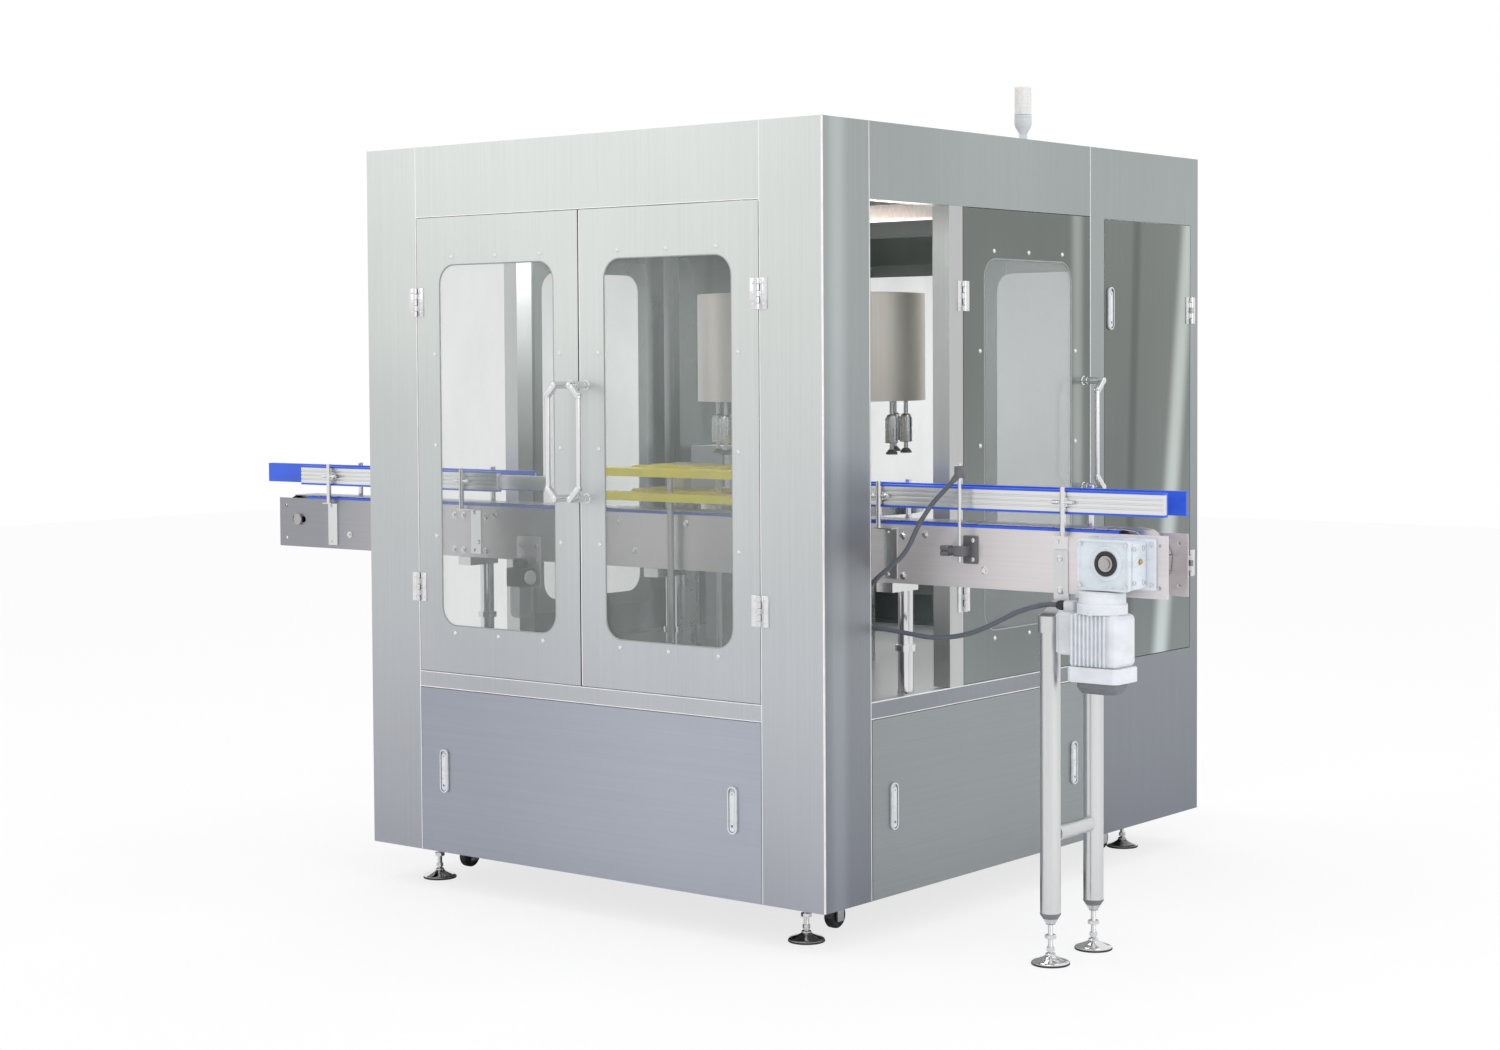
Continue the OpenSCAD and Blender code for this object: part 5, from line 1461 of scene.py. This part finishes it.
@dataclass
class StandingGear:
    """Levelling feet, leg feet and castor wheels."""

    places: tuple[tuple[str, float, float], ...] = (
        ("foot_front_left", -655, -820), ("foot_front_right", 655, -820),
        ("foot_back_left", -655, 740), ("foot_back_right", 655, 740),
    )
    leg_places: tuple[Point, ...] = ((1272, -656, 0), (1272, -456, 0))
    castor_x: float = 655.0
    castor_z: float = 44.0

    def foot(self, name: str, spindle: float, top: float) -> tuple[Piece, Piece]:
        """Model one foot at the cabinet's middle.

        Args:
            name: Name of the foot.
            spindle: Radius of the spindle in millimetres.
            top: Height of the spindle's end in millimetres.

        Returns:
            The steel foot and its rubber ring.
        """
        disc = Bench.turned(
            name, 45.5,
            [
                (2.2, 46), (1.6, 44.5), (2.4, 38), (3.6, 27), (4.6, 17), (2.6, 13.5), (1, 12.5),
                (4, 12.5), (1.5, 9.5), (2, spindle),
            ],
            (0, 0, 4), sides=48,
        )
        turns = []
        run = top - 29.5
        for _ in range(int(run // 3)):
            turns += [(1.2, spindle - 0.7), (0.3, spindle - 0.7), (1.2, spindle), (0.3, spindle)]
        stem = Bench.turned(name, spindle, turns, (0, 0, 29.5), sides=20)
        lock = Bench.turned(name, 13, [(0.8, 14), (8.4, 14), (0.8, 13)], (0, 0, 62), sides=HEX)
        flats = Bench.turned(name, 9, [(0.6, 9.8), (9, 9.8), (0.6, 9)], (0, 0, 32), sides=HEX)
        steel = Bench.joined(name, [disc, stem, lock, flats])
        rubber = Bench.turned(
            name + "_pad", 46.2, [(0.8, 47), (2.6, 47), (0.8, 46)], (0, 0, 0), sides=48
        )
        return steel, rubber

    def wheels(self, node: str, y: float) -> None:
        """Model one pair of castor wheels: tyres and hubs."""
        tyre = Bench.turned(
            node + "_tyres", 22,
            [
                (FLAT, 25), (-1.5, 25.5), (FLAT, 28), (1.5, 29.5), (2.5, 31.6), (9, 32), (9, 31.6),
                (2.5, 29.5), (1.5, 28), (FLAT, 25.5), (-1.5, 25), (FLAT, 22),
            ],
            (-self.castor_x - 12.2, y, self.castor_z), Axis.RIGHT, 48,
        )
        tyre = Bench.shifted(node + "_tyres", tyre, [(0, 0, 0), (2 * self.castor_x, 0, 0)])
        dress(tyre, node, Finishes.BLACK, [node])
        hub = Bench.turned(
            node + "_hubs", 9,
            [(1.5, 9), (FLAT, 12), (2, 21), (17, 21), (2, 12), (FLAT, 9), (1.5, 9)],
            (-self.castor_x - 12, y, self.castor_z), Axis.RIGHT, 32,
        )
        hub = Bench.shifted(node + "_hubs", hub, [(0, 0, 0), (2 * self.castor_x, 0, 0)])
        dress(hub, node, Finishes.GREY_CAP)

    def build(self) -> None:
        """Place every foot and wheel."""
        for node, x, y in self.places:
            steel, rubber = self.foot(node + "_fine", 7.0, 127.0)
            steel = Bench.copied(node + "_fine", steel, [laid((x, y, 0))])
            rubber = Bench.copied(node + "_pad", rubber, [laid((x, y, 0))])
            dress(steel, node, Finishes.BRIGHT, [node])
            dress(rubber, node, Finishes.BLACK)
        steel, rubber = self.foot("leg_feet_fine", 6.5, 120.0)
        moves = [laid(place) for place in self.leg_places]
        steel = Bench.copied("leg_feet_fine", steel, moves)
        rubber = Bench.copied("leg_feet_pads", rubber, moves)
        dress(steel, "cabinet", Finishes.BRIGHT, ["leg_feet"])
        dress(rubber, "cabinet", Finishes.BLACK)
        self.wheels("front_castor_wheels", -700)
        self.wheels("rear_castor_wheels", 610)


@dataclass
class Conveyor:
    """Slat chain, ribbed rails, bolts, leg tips and the grips of the rail clamps."""

    idler_x: float = -1478.0
    drive_x: float = 1446.0
    axle_z: float = 980.0
    outer_r: float = 76.0
    chain_w: float = 88.0
    slat_t: float = 3.4
    pitch_near: float = 38.1
    gap: float = 1.3
    rail_in: float = 41.3
    rail_out: float = 56.0
    rail_z0: float = 1093.3
    rail_z1: float = 1140.7
    rail_runs: tuple[tuple[float, float, int], ...] = (
        (-1459, -620, -1), (430, 1556, -1), (-1716, -568, 1), (430, 1556, 1),
    )
    tie_places: tuple[float, ...] = (-1250, -700, -100, 500, 1050)
    splice_places: tuple[float, ...] = (-800, -763, -672, 804)
    lever_places: tuple[float, ...] = (-1322, -753, 741, 1286)
    column_places: tuple[float, ...] = (-752, -34, 752)
    plate_half: float = 49.0
    leg_x: float = 1272.0

    def slats(self) -> None:
        """Model one slat and send copies of it round the loop."""
        run = self.drive_x - self.idler_x
        bend = math.pi * self.outer_r
        loop = 2 * run + 2 * bend
        count = round(loop / self.pitch_near)
        pitch = loop / count
        half = pitch / 2 - self.gap / 2
        plate = Bench.block(
            "slat", (-half, -self.chain_w / 2, -self.slat_t), (half, self.chain_w / 2, 0), 0.9, 1,
        )
        knuckle = Bench.block(
            "slat", (half - 6, -18, -8), (half + 4, 18, -self.slat_t + 0.2), 1.6, 1
        )
        slat = Bench.joined("slat", [plate, knuckle])
        moves = []
        for k in range(count):
            s = k * pitch
            if s < run:
                x, z, angle = self.idler_x + s, self.axle_z + self.outer_r, 0.0
            elif s < run + bend:
                angle = (s - run) / self.outer_r
                x = self.drive_x + self.outer_r * math.sin(angle)
                z = self.axle_z + self.outer_r * math.cos(angle)
            elif s < 2 * run + bend:
                x, z, angle = self.drive_x - (s - run - bend), self.axle_z - self.outer_r, math.pi
            else:
                angle = math.pi + (s - 2 * run - bend) / self.outer_r
                x = self.idler_x + self.outer_r * math.sin(angle)
                z = self.axle_z + self.outer_r * math.cos(angle)
            moves.append(tipped((x, CONVEYOR_Y, z), math.degrees(angle), "Y"))
        chain = Bench.copied("chain_slats", slat, moves)
        dress(chain, "cabinet", Finishes.SLAT, ["conveyor_chain"])

    def rails(self) -> None:
        """Push the ribbed rail profile along every run."""
        wide = self.rail_out - self.rail_in
        tall = self.rail_z1 - self.rail_z0
        outline: list[Span] = [(0, 0), (0, wide)]
        ribs = 4
        share = tall / ribs
        for k in range(1, ribs):
            level = -k * share
            outline += [
                (level + 2.2, wide), (level + 1.4, wide - 3), (level - 1.4, wide - 3),
                (level - 2.2, wide),
            ]
        outline += [(-tall, wide), (-tall, 0)]
        rails = []
        for x0, x1, side in self.rail_runs:
            shape = [(a, side * b) for a, b in outline]
            at = (x0, CONVEYOR_Y + side * self.rail_in, self.rail_z0)
            rails.append(Bench.plate("rail", shape, at, x1 - x0, Axis.RIGHT, 0.4))
        rails.append(Bench.block("rail", (-619.7, -604, 1097), (-430, -592, 1137), 1.2))
        joined = Bench.joined("guide_rails_fine", rails)
        dress(joined, "cabinet", Finishes.RAIL, ["guide_rails"])

    def bolts(self) -> None:
        """Put hexagon bolts with washers on the side plates, straps and brackets."""
        bolt = Bench.hexagon("bolt", (1.2, 8.5), (4.2, 6.6), (0.6, 5.8))
        washer = Bench.turned("bolt", 9.6, [(0.9, 9.6), (0.3, 9)], (0, 0, 0), Axis.FRONT, 24)
        bolt = Bench.joined("bolt", [bolt, washer])
        half = self.plate_half
        moves = [laid((x, CONVEYOR_Y - half, 940)) for x in self.tie_places]
        moves += [laid((x, CONVEYOR_Y + half, 940), 180) for x in self.tie_places]
        for x in self.column_places:
            moves += [laid((x + dx, CONVEYOR_Y - half, 1022)) for dx in (-120, 120)]
        for z in (915, 1016):
            moves += [laid((x, CONVEYOR_Y - half, z)) for x in self.splice_places]
            moves += [laid((x, CONVEYOR_Y + half, z), 180) for x in self.splice_places]
        for z in (902, 978):
            moves.append(laid((self.leg_x, CONVEYOR_Y - half - 3, z)))
            moves.append(laid((self.leg_x, CONVEYOR_Y + half + 3, z), 180))
        dress(
            Bench.copied("conveyor_bolts", bolt, moves), "cabinet", Finishes.BRIGHT
        )

    def leg_caps(self) -> None:
        """Close the leg tubes with grey tips and set the grips on the rail clamps."""
        tip = Bench.turned(
            "tip", 11.4, [(4, 12), (19.6, 25.3), (4, 25.4), (0.6, 24.6)], (0, 0, 97.4), sides=40,
        )
        moves = [laid((self.leg_x, y, 0)) for y in (-656, -456)]
        dress(Bench.copied("leg_tips", tip, moves), "cabinet", Finishes.GREY_CAP)
        grip = Bench.turned(
            "grip", 4.6, [(1, 5.6), (14, 5.6), (1, 4.8)], (13, 0, 0), Axis.RIGHT, 16
        )
        moves = []
        for x in self.lever_places:
            for y in (CONVEYOR_Y - 65.5, CONVEYOR_Y + 65.5):
                moves += [laid((x, y, 1117)), laid((x, y, 1117), 180)]
        grips = Bench.copied("rail_clamp_grips", grip, moves)
        dress(grips, "cabinet", Finishes.BRIGHT)

    def build(self) -> None:
        """Build the conveyor's fine pieces."""
        self.slats()
        self.rails()
        self.bolts()
        self.leg_caps()


@dataclass
class DriveUnit:
    """Gearbox, finned motor and terminal box."""

    gear_x: float = 1437.0
    gear_z: float = 976.0
    shaft_x: float = 1446.0
    shaft_z: float = 980.0
    gear_w: float = 148.0
    gear_h: float = 122.0
    front_y: float = -689.3
    motor_x: float = 1420.0
    motor_y: float = -662.0

    def gearbox(self) -> None:
        """Model the housing, its sunk cover, the boss ring and the flanges."""
        x0, x1 = self.gear_x - self.gear_w / 2, self.gear_x + self.gear_w / 2
        z0, z1 = self.gear_z - self.gear_h / 2, self.gear_z + self.gear_h / 2
        name = "gearbox_housing"
        parts = [
            Bench.block(name, (x0 - 12, PLATE_FACE - 8, z0), (x1 + 24, PLATE_FACE, z1), 3),
            Bench.block(
                name, (x0 + 3, self.front_y + 9, z0 + 3), (x1 - 3, PLATE_FACE - 6, z1 - 3), 7, 3
            ),
        ]
        outline = rounded_outline(self.gear_w - 6, self.gear_h, 9)
        parts.append(
            Bench.tray(
                name, outline, (self.gear_x, self.front_y + 12, z0), 12, 7, 4, Axis.FRONT, 1.5
            )
        )
        parts.append(
            Bench.turned(
                name, 46, [(2, 46), (1.5, 44.5), (1, 41), (2.5, 41), (1.3, 40)],
                (self.shaft_x, self.front_y + 8, self.shaft_z), Axis.FRONT, 56,
            )
        )
        lobe = Bench.turned(name, 8.4, [(4, 8.4), (1, 7.4)], (0, -43, 0), Axis.FRONT, 20)
        spokes = []
        for k in range(8):
            angle = math.radians(22.5 + 45 * k)
            across = self.shaft_x + 40 * math.cos(angle)
            spokes.append(
                laid((across, self.front_y + 8 + 43, self.shaft_z + 40 * math.sin(angle)))
            )
        parts.append(Bench.copied(name, lobe, spokes))
        rib = Bench.block(name, (-2.5, 0, z0 + 8), (2.5, 60, z1 - 8), 1.5)
        rib_moves = [laid((x0 + 2, -676, 0)), laid((x1 - 2, -676, 0))]
        parts.append(Bench.copied(name, rib, rib_moves))
        step = Bench.block(name, (x1 - 6, -668, z0 + 14), (x1, -622, z1 - 14), 4, 3)
        parts.append(step)
        housing = Bench.joined(name, parts)
        dress(housing, "cabinet", Finishes.GEAR_PAINT, ["drive_gearbox"])
        seal = Bench.turned(
            "gearbox_seal", 30, [(3.2, 30), (0.8, 29), (FLAT, 21.5), (-2.5, 20)],
            (self.shaft_x, self.front_y, self.shaft_z), Axis.FRONT, 48,
        )
        dress(seal, "cabinet", Finishes.BLACK)
        head = Bench.hexagon("gear_bolt", (1, 6.4), (3, 5.4), (0.5, 4.6))
        moves = [
            laid((self.gear_x + sx * 62, self.front_y, self.gear_z + sz * 49))
            for sx in (-1, 1)
            for sz in (-1, 1)
        ]
        moves += [laid((x1 + 14, PLATE_FACE - 8, self.gear_z + sz * 49)) for sz in (-1, 1)]
        moves += [laid((x1, y, self.gear_z + sz * 40), 90) for y in (-672, -630) for sz in (-1, 1)]
        dress(
            Bench.copied("gearbox_bolts", head, moves), "cabinet", Finishes.BRIGHT
        )
        plug = Bench.hexagon("gearbox_plug", (2, 8), (3, 6), (0.6, 5), (x1, -645, 985), Axis.RIGHT)
        dress(plug, "cabinet", Finishes.BRASS)

    def motor(self) -> None:
        """Model the motor's body, fins, pad, neck, octagonal band and fan cap."""
        x, y = self.motor_x, self.motor_y
        name = "motor_body"
        parts = [Bench.block(name, (x - 60, y - 43, 734), (x + 60, y + 43, 860), 8, 3)]
        fin = Bench.block(name, (-2.4, -50, 737), (2.4, -38, 858), 1.6)
        fins = [laid((x + 11 * k, y, 0)) for k in range(-5, 4)]
        fins += [laid((x + 11 * k, y, 0), 180) for k in range(-4, 5)]
        parts.append(Bench.copied(name, fin, fins))
        parts.append(Bench.block(name, (x + 41, y - 49.5, 737), (x + 64, y + 42, 858), 7, 3))
        parts.append(Bench.block(name, (x + 56, y - 40, 741), (x + 66, y + 40, 853), 5, 3))
        parts.append(Bench.block(name, (x - 66, y - 42, 737), (x - 52, y + 40, 858), 5, 3))
        parts.append(
            Bench.turned(
                name, 58,
                [(1.5, 60), (22, 60), (2.5, 58), (FLAT, 56), (24, 56), (2, 54), (1.5, 50)],
                (x, y, 859), sides=64,
            )
        )
        parts.append(Bench.block(name, (x - 2, y - 64, 858), (x + 7, y - 48, 872), 2))
        wide, deep, cut = 70.0, 54.0, 12.0
        outline = [
            (wide - cut, -deep), (wide, -deep + cut), (wide, deep - cut), (wide - cut, deep),
            (-wide + cut, deep), (-wide, deep - cut), (-wide, -deep + cut), (-wide + cut, -deep),
        ]
        parts.append(Bench.plate(name, outline, (x, y, 698), 36, Axis.UP, 2.0))
        body = Bench.joined(name, parts)
        dress(body, "cabinet", Finishes.MOTOR_PAINT, ["drive_motor"])
        steps = []
        for low, tall, shrink in ((683, 16, 0), (676, 9, 3), (670, 8, 7)):
            shape = rounded_outline(112 - 2 * shrink, 80 - 2 * shrink, 24)
            outline = [(a, b - 40 + shrink) for a, b in shape]
            steps.append(Bench.plate("motor_fan_cap", outline, (x, y, low), tall, Axis.UP, 1.5))
        cap = Bench.joined("motor_fan_cap", steps)
        dress(cap, "cabinet", Finishes.GREY_CAP)

    def terminals(self) -> None:
        """Model the terminal box, its lid, the cable inlet and the gland."""
        name = "terminal_housing"
        parts = [
            Bench.block(name, (1315, -695, 758), (1353.7, -629, 860), 6, 3),
            Bench.block(name, (1309.7, -692, 762), (1316, -632, 856), 3),
            Bench.block(name, (1316.7, -672, 858), (1346.7, -638, 884.3), 5, 3),
        ]
        housing = Bench.joined(name, parts)
        dress(housing, "cabinet", Finishes.BOX_PAINT, ["terminal_box"])
        nut = Bench.turned(
            "terminal_gland", 8.5,
            [(1, 10), (6, 10.5), (FLAT, 11), (0.8, 12), (8, 12), (0.8, 11), (2, 10), (12, 10)],
            (1292, -655, 872), Axis.RIGHT, 12,
        )
        dress(nut, "cabinet", Finishes.BLACK)
        screw = Bench.turned(
            "terminal_screws", 3.2, [(1, 3.2), (0.4, 2.2)], (1309.7, -662, 809), Axis.LEFT, 14,
        )
        screw = Bench.shifted(
            "terminal_screws", screw, [(0, dy, dz) for dy in (-24, 24) for dz in (-41, 41)]
        )
        dress(screw, "cabinet", Finishes.BRIGHT)

    def build(self) -> None:
        """Build the drive's fine pieces."""
        self.gearbox()
        self.motor()
        self.terminals()


@dataclass
class SensorPost:
    """Sensor rod in its black cross clamp, with the sensor on top."""

    rod_x: float = 1001.0
    rod_y: float = -640.0
    axis_z: float = 988.0

    def build(self) -> None:
        """Build the clamp, the knob, the rod and the sensor head."""
        x, y = self.rod_x, self.rod_y
        name = "sensor_clamp"
        parts = [
            Bench.block(name, (x - 11, -611, 955), (x + 31, -605, 1025), 2.5),
            Bench.block(name, (x - 13, y - 13, 975), (x + 13, -610, 1001), 3),
            Bench.block(name, (x - 10, y - 16, 979), (x + 10, y - 12, 997), 2),
            Bench.turned(
                name, 7, [(1, 8), (22, 9), (1.5, 8), (2, 6), (16, 6)], (x - 52, y, self.axis_z),
                Axis.RIGHT, 24,
            ),
        ]
        for k in range(4):
            angle = math.radians(45 + 90 * k)
            lobe = (x - 52, y + 9 * math.cos(angle), self.axis_z + 9 * math.sin(angle))
            parts.append(Bench.turned(name, 6, [(1, 7), (22, 7), (1, 6)], lobe, Axis.RIGHT, 20))
        dress(
            Bench.joined(name, parts), "cabinet", Finishes.CLAMP, ["sensor_stand"]
        )
        relief = Bench.turned("relief", 7, [(2, 7.6), (6, 8), (8, 8)], (0, 0, 0), sides=24)
        head = [
            Bench.block("sensor_head", (x - 9, y - 13, 1169), (x + 9, y + 13, 1200), 3),
            Bench.copied("sensor_head", relief, [tipped((x - 16, -646, 1162), 45, "Y")]),
        ]
        dress(Bench.joined("sensor_head", head), "cabinet", Finishes.CLAMP)
        bolt = Bench.turned(
            "sensor_bolts", 6.6, [(3, 6.4), (1, 5)], (x + 20, -611, 966), Axis.FRONT, HEX
        )
        bolt = Bench.shifted("sensor_bolts", bolt, [(0, 0, 0), (0, 0, 48)])
        dress(bolt, "cabinet", Finishes.BRIGHT)
        rod = Bench.turned(
            "sensor_rod", 4.4, [(0.8, 5), (243.4, 5), (0.8, 4.4)], (x, y, 960), sides=20
        )
        dress(rod, "cabinet", Finishes.BRIGHT)
        lens = Bench.turned(
            "sensor_lens", 6, [(1, 6), (0.6, 5), (FLAT, 4), (-0.8, 3)],
            (x, -627, 1184), Axis.BACK, 24,
        )
        dress(lens, "cabinet", Finishes.LENS_RED)


@dataclass
class Carousel:
    """Pressers over the turret and the bottles' seats on it."""

    axis: Span = (100.0, -58.2)
    radius: float = 270.0
    stations: int = 12
    press_z: float = 1196.0
    first: float = -116.4

    def station_moves(self) -> list[Matrix]:
        """Give the move from the cabinet's middle to each station."""
        moves = []
        for k in range(self.stations):
            angle = self.first + 360 / self.stations * k
            x = self.axis[0] + self.radius * math.cos(math.radians(angle))
            y = self.axis[1] + self.radius * math.sin(math.radians(angle))
            moves.append(laid((x, y, 0), angle))
        return moves

    def pressers(self) -> None:
        """Model one presser and repeat it at every station."""
        z = self.press_z
        metal = Bench.turned(
            "presser", 16,
            [
                (0.8, 17.6), (4, 18), (62, 18), (4, 17.6), (FLAT, 15), (6, 14), (3.4, 10),
                (FLAT, 6), (168, 6),
            ],
            (0, 0, z + 32), sides=28,
        )
        rod = Bench.turned("presser", 6, [(18, 6)], (0, 0, z + 14), sides=20)
        metal = Bench.joined("presser", [metal, rod])
        moves = self.station_moves()
        metal = Bench.copied("presser_cylinders", metal, moves)
        dress(metal, "bottle_pressers", Finishes.TURNED, ["bottle_pressers"])
        pad = Bench.turned(
            "pad", 15, [(1.5, 16.5), (4, 16.5), (2, 14), (4, 10.5), (2.4, 9)], (0, 0, z), sides=28
        )
        pads = Bench.copied("presser_pads", pad, moves)
        dress(pads, "bottle_pressers", Finishes.PAD)

    def cradles(self) -> None:
        """Stand a ring of seat cups on the disc, one for each bottle."""
        cup = Bench.turned(
            "cup", 31, [(0.4, 32), (0.6, 32), (FLAT, 29), (-0.6, 28.4)], (0, 0, BELT_Z), sides=36,
        )
        cups = Bench.copied("bottle_seats", cup, self.station_moves())
        dress(cups, "turret", Finishes.DARK_STEEL)

    def build(self) -> None:
        """Build the carousel's fine pieces."""
        self.pressers()
        self.cradles()


@dataclass
class LabelStation:
    """Label roll with its plate and nut, the drum's pads and the glue tank's lid."""

    reel: Span = (-520.0, 650.0)
    drum: Span = (-258.5, 148.8)
    tank: Span = (-287.3, 445.0)

    def build(self) -> None:
        """Build the label station's fine pieces."""
        x, y = self.reel
        roll = Bench.turned(
            "label_roll", 188,
            [
                (0.6, 190), (88.8, 190), (0.6, 188), (FLAT, 100), (-1.5, 99), (FLAT, 60), (1.5, 58),
                (FLAT, 32),
            ],
            (x, y, 1088), sides=96,
        )
        dress(roll, "label_reel", Finishes.PAPER, ["label_reel"])
        plate = Bench.turned(
            "reel_plate", 198, [(1, 200), (2, 200), (1, 198)], (x, y, 1084), sides=96
        )
        nut = Bench.turned("reel_plate", 28, [(1, 30), (22, 30), (3, 26)], (x, y, 1178), sides=12)
        dress(
            Bench.joined("reel_plate", [plate, nut]), "label_reel", Finishes.TURNED
        )
        lid = Bench.block(
            "tank_lid", (self.tank[0] - 62, self.tank[1] - 72, 1199),
            (self.tank[0] + 62, self.tank[1] + 72, 1204), 2,
        )
        dress(lid, "cabinet", Finishes.BRIGHT)
        turns = [math.radians(13.5 * k / 6) for k in range(-6, 7)]
        outline = [(110.4 * math.cos(a), 110.4 * math.sin(a)) for a in turns]
        outline += [(104 * math.cos(a), 104 * math.sin(a)) for a in reversed(turns)]
        pad = Bench.plate("drum_pads", outline, (0, 0, 1082), 106, Axis.UP, 0.3)
        moves = [laid((self.drum[0], self.drum[1], 0), 45 + 90 * k) for k in range(4)]
        dress(Bench.copied("drum_pads", pad, moves), "vacuum_drum", Finishes.BLACK)


@dataclass
class AirService:
    """Air regulator with its bowl and gauge on the bolted bracket."""

    x: float = -498.0

    def build(self) -> None:
        """Build the bracket, the body, the bowl and the gauge."""
        x, face = self.x, PLATE_FACE
        plate = Bench.block("air_bracket", (x - 46, face - 4, 818), (x + 46, face, 964), 2)
        bolt = Bench.hexagon("air_bracket", (1, 7), (3.6, 5.6), (0.5, 5))
        moves = [laid((x + sx * 30.6, face - 4, z)) for sx in (-1, 1) for z in (897, 939)]
        bracket = Bench.joined("air_bracket", [plate, Bench.copied("air_bracket", bolt, moves)])
        dress(bracket, "cabinet", Finishes.CONVEYOR_SHEET, ["air_regulator"])
        body = Bench.block("air_body", (x - 31, face - 66, 824), (x + 31, face - 4, 878), 5, 3)
        knob = Bench.turned(
            "air_body", 20, [(2, 22), (20, 22), (4, 19)], (x, face - 38, 877), sides=24
        )
        dress(Bench.joined("air_body", [body, knob]), "cabinet", Finishes.BLACK)
        bowl = Bench.turned(
            "air_bowl", 14, [(3, 22), (6, 28), (12, 30), (60, 30), (9, 30)], (x, face - 38, 734),
            sides=40,
        )
        dress(bowl, "cabinet", Finishes.SIDE_PANE)
        gauge = Bench.turned(
            "air_gauge", 8, [(2, 8), (FLAT, 19), (8, 20), (1.4, 20), (FLAT, 17.5), (-0.8, 17)],
            (x + 31, face - 38, 851), Axis.RIGHT, 36,
        )
        dress(gauge, "cabinet", Finishes.WHITE)


@dataclass
class Lamps:
    """Signal lamp on the roof and the long lamp under it."""

    x: float = 710.0
    y: float = 109.0

    def build(self) -> None:
        """Build the signal lamp's base and lens, and the long lamp under the roof."""
        name = "signal_base"
        parts = [
            Bench.turned(name, 29, [(1, 30), (3, 30), (1, 28), (FLAT, 13), (4, 11), (25, 11)],
                         (self.x, self.y, 2049.6), sides=40),
            Bench.turned(
                name, 11,
                [
                    (6, 14), (12, 21), (8, 24), (16, 24.4), (1, 23.6), (FLAT, 22.4), (2, 22.4),
                    (FLAT, 23.8), (6.2, 24),
                ],
                (self.x, self.y, 2082), sides=40,
            ),
        ]
        dress(
            Bench.joined(name, parts), "cabinet", Finishes.BOX_PAINT, ["signal_tower"]
        )
        rings = []
        for _ in range(12):
            rings += [(2.6, 23.6), (0.8, 22.8), (2.6, 23.6)]
        lens = Bench.turned(
            "signal_lens", 22.6, [(1, 23.6)] + rings + [(2.4, 23.4), (2.2, 20), (1.0, 14)],
            (self.x, self.y, 2134), sides=40,
        )
        dress(lens, "cabinet", Finishes.LAMP)
        tube = Bench.block("roof_lamp", (-400, -23, 1852), (600, 23, 1898), 9, 3)
        hook = Bench.turned("roof_lamp", 6, [(151, 6)], (-300, 0, 1897), sides=16)
        hook = Bench.shifted("roof_lamp", hook, [(0, 0, 0), (800, 0, 0)])
        lamp = Bench.joined("roof_lamp", [tube, hook])
        dress(lamp, "cabinet", Finishes.LAMP, ["inside_lamp"])


def record_box(values: dict[str, list[list[float]]], key: str) -> None:
    """Note the whole object's box under a key, as plain lists."""
    values[key] = [[round(float(c), 5) for c in corner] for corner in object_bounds()]


def main() -> None:
    """Build the machine's looks in order."""
    logging.basicConfig(level=logging.INFO, format="%(name)s: %(message)s")
    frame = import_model()
    sizes: dict[str, list[list[float]]] = {}
    record_box(sizes, "cad")
    Viewpoint().build()
    Cables().build()
    DoorHardware().build()
    SeamBeads().build()
    PanelLatches().build()
    StandingGear().build()
    Conveyor().build()
    DriveUnit().build()
    SensorPost().build()
    Carousel().build()
    LabelStation().build()
    AirService().build()
    Lamps().build()
    for node, finish in NODE_FINISHES.items():
        mesh = frame["nodes"][node].data
        mesh.materials.clear()
        mesh.materials.append(finish.material())
        LOG.info("%s finished as %s", node, finish.name)
    Studio().build()
    record_box(sizes, "visual")


if __name__ == "__main__":
    main()
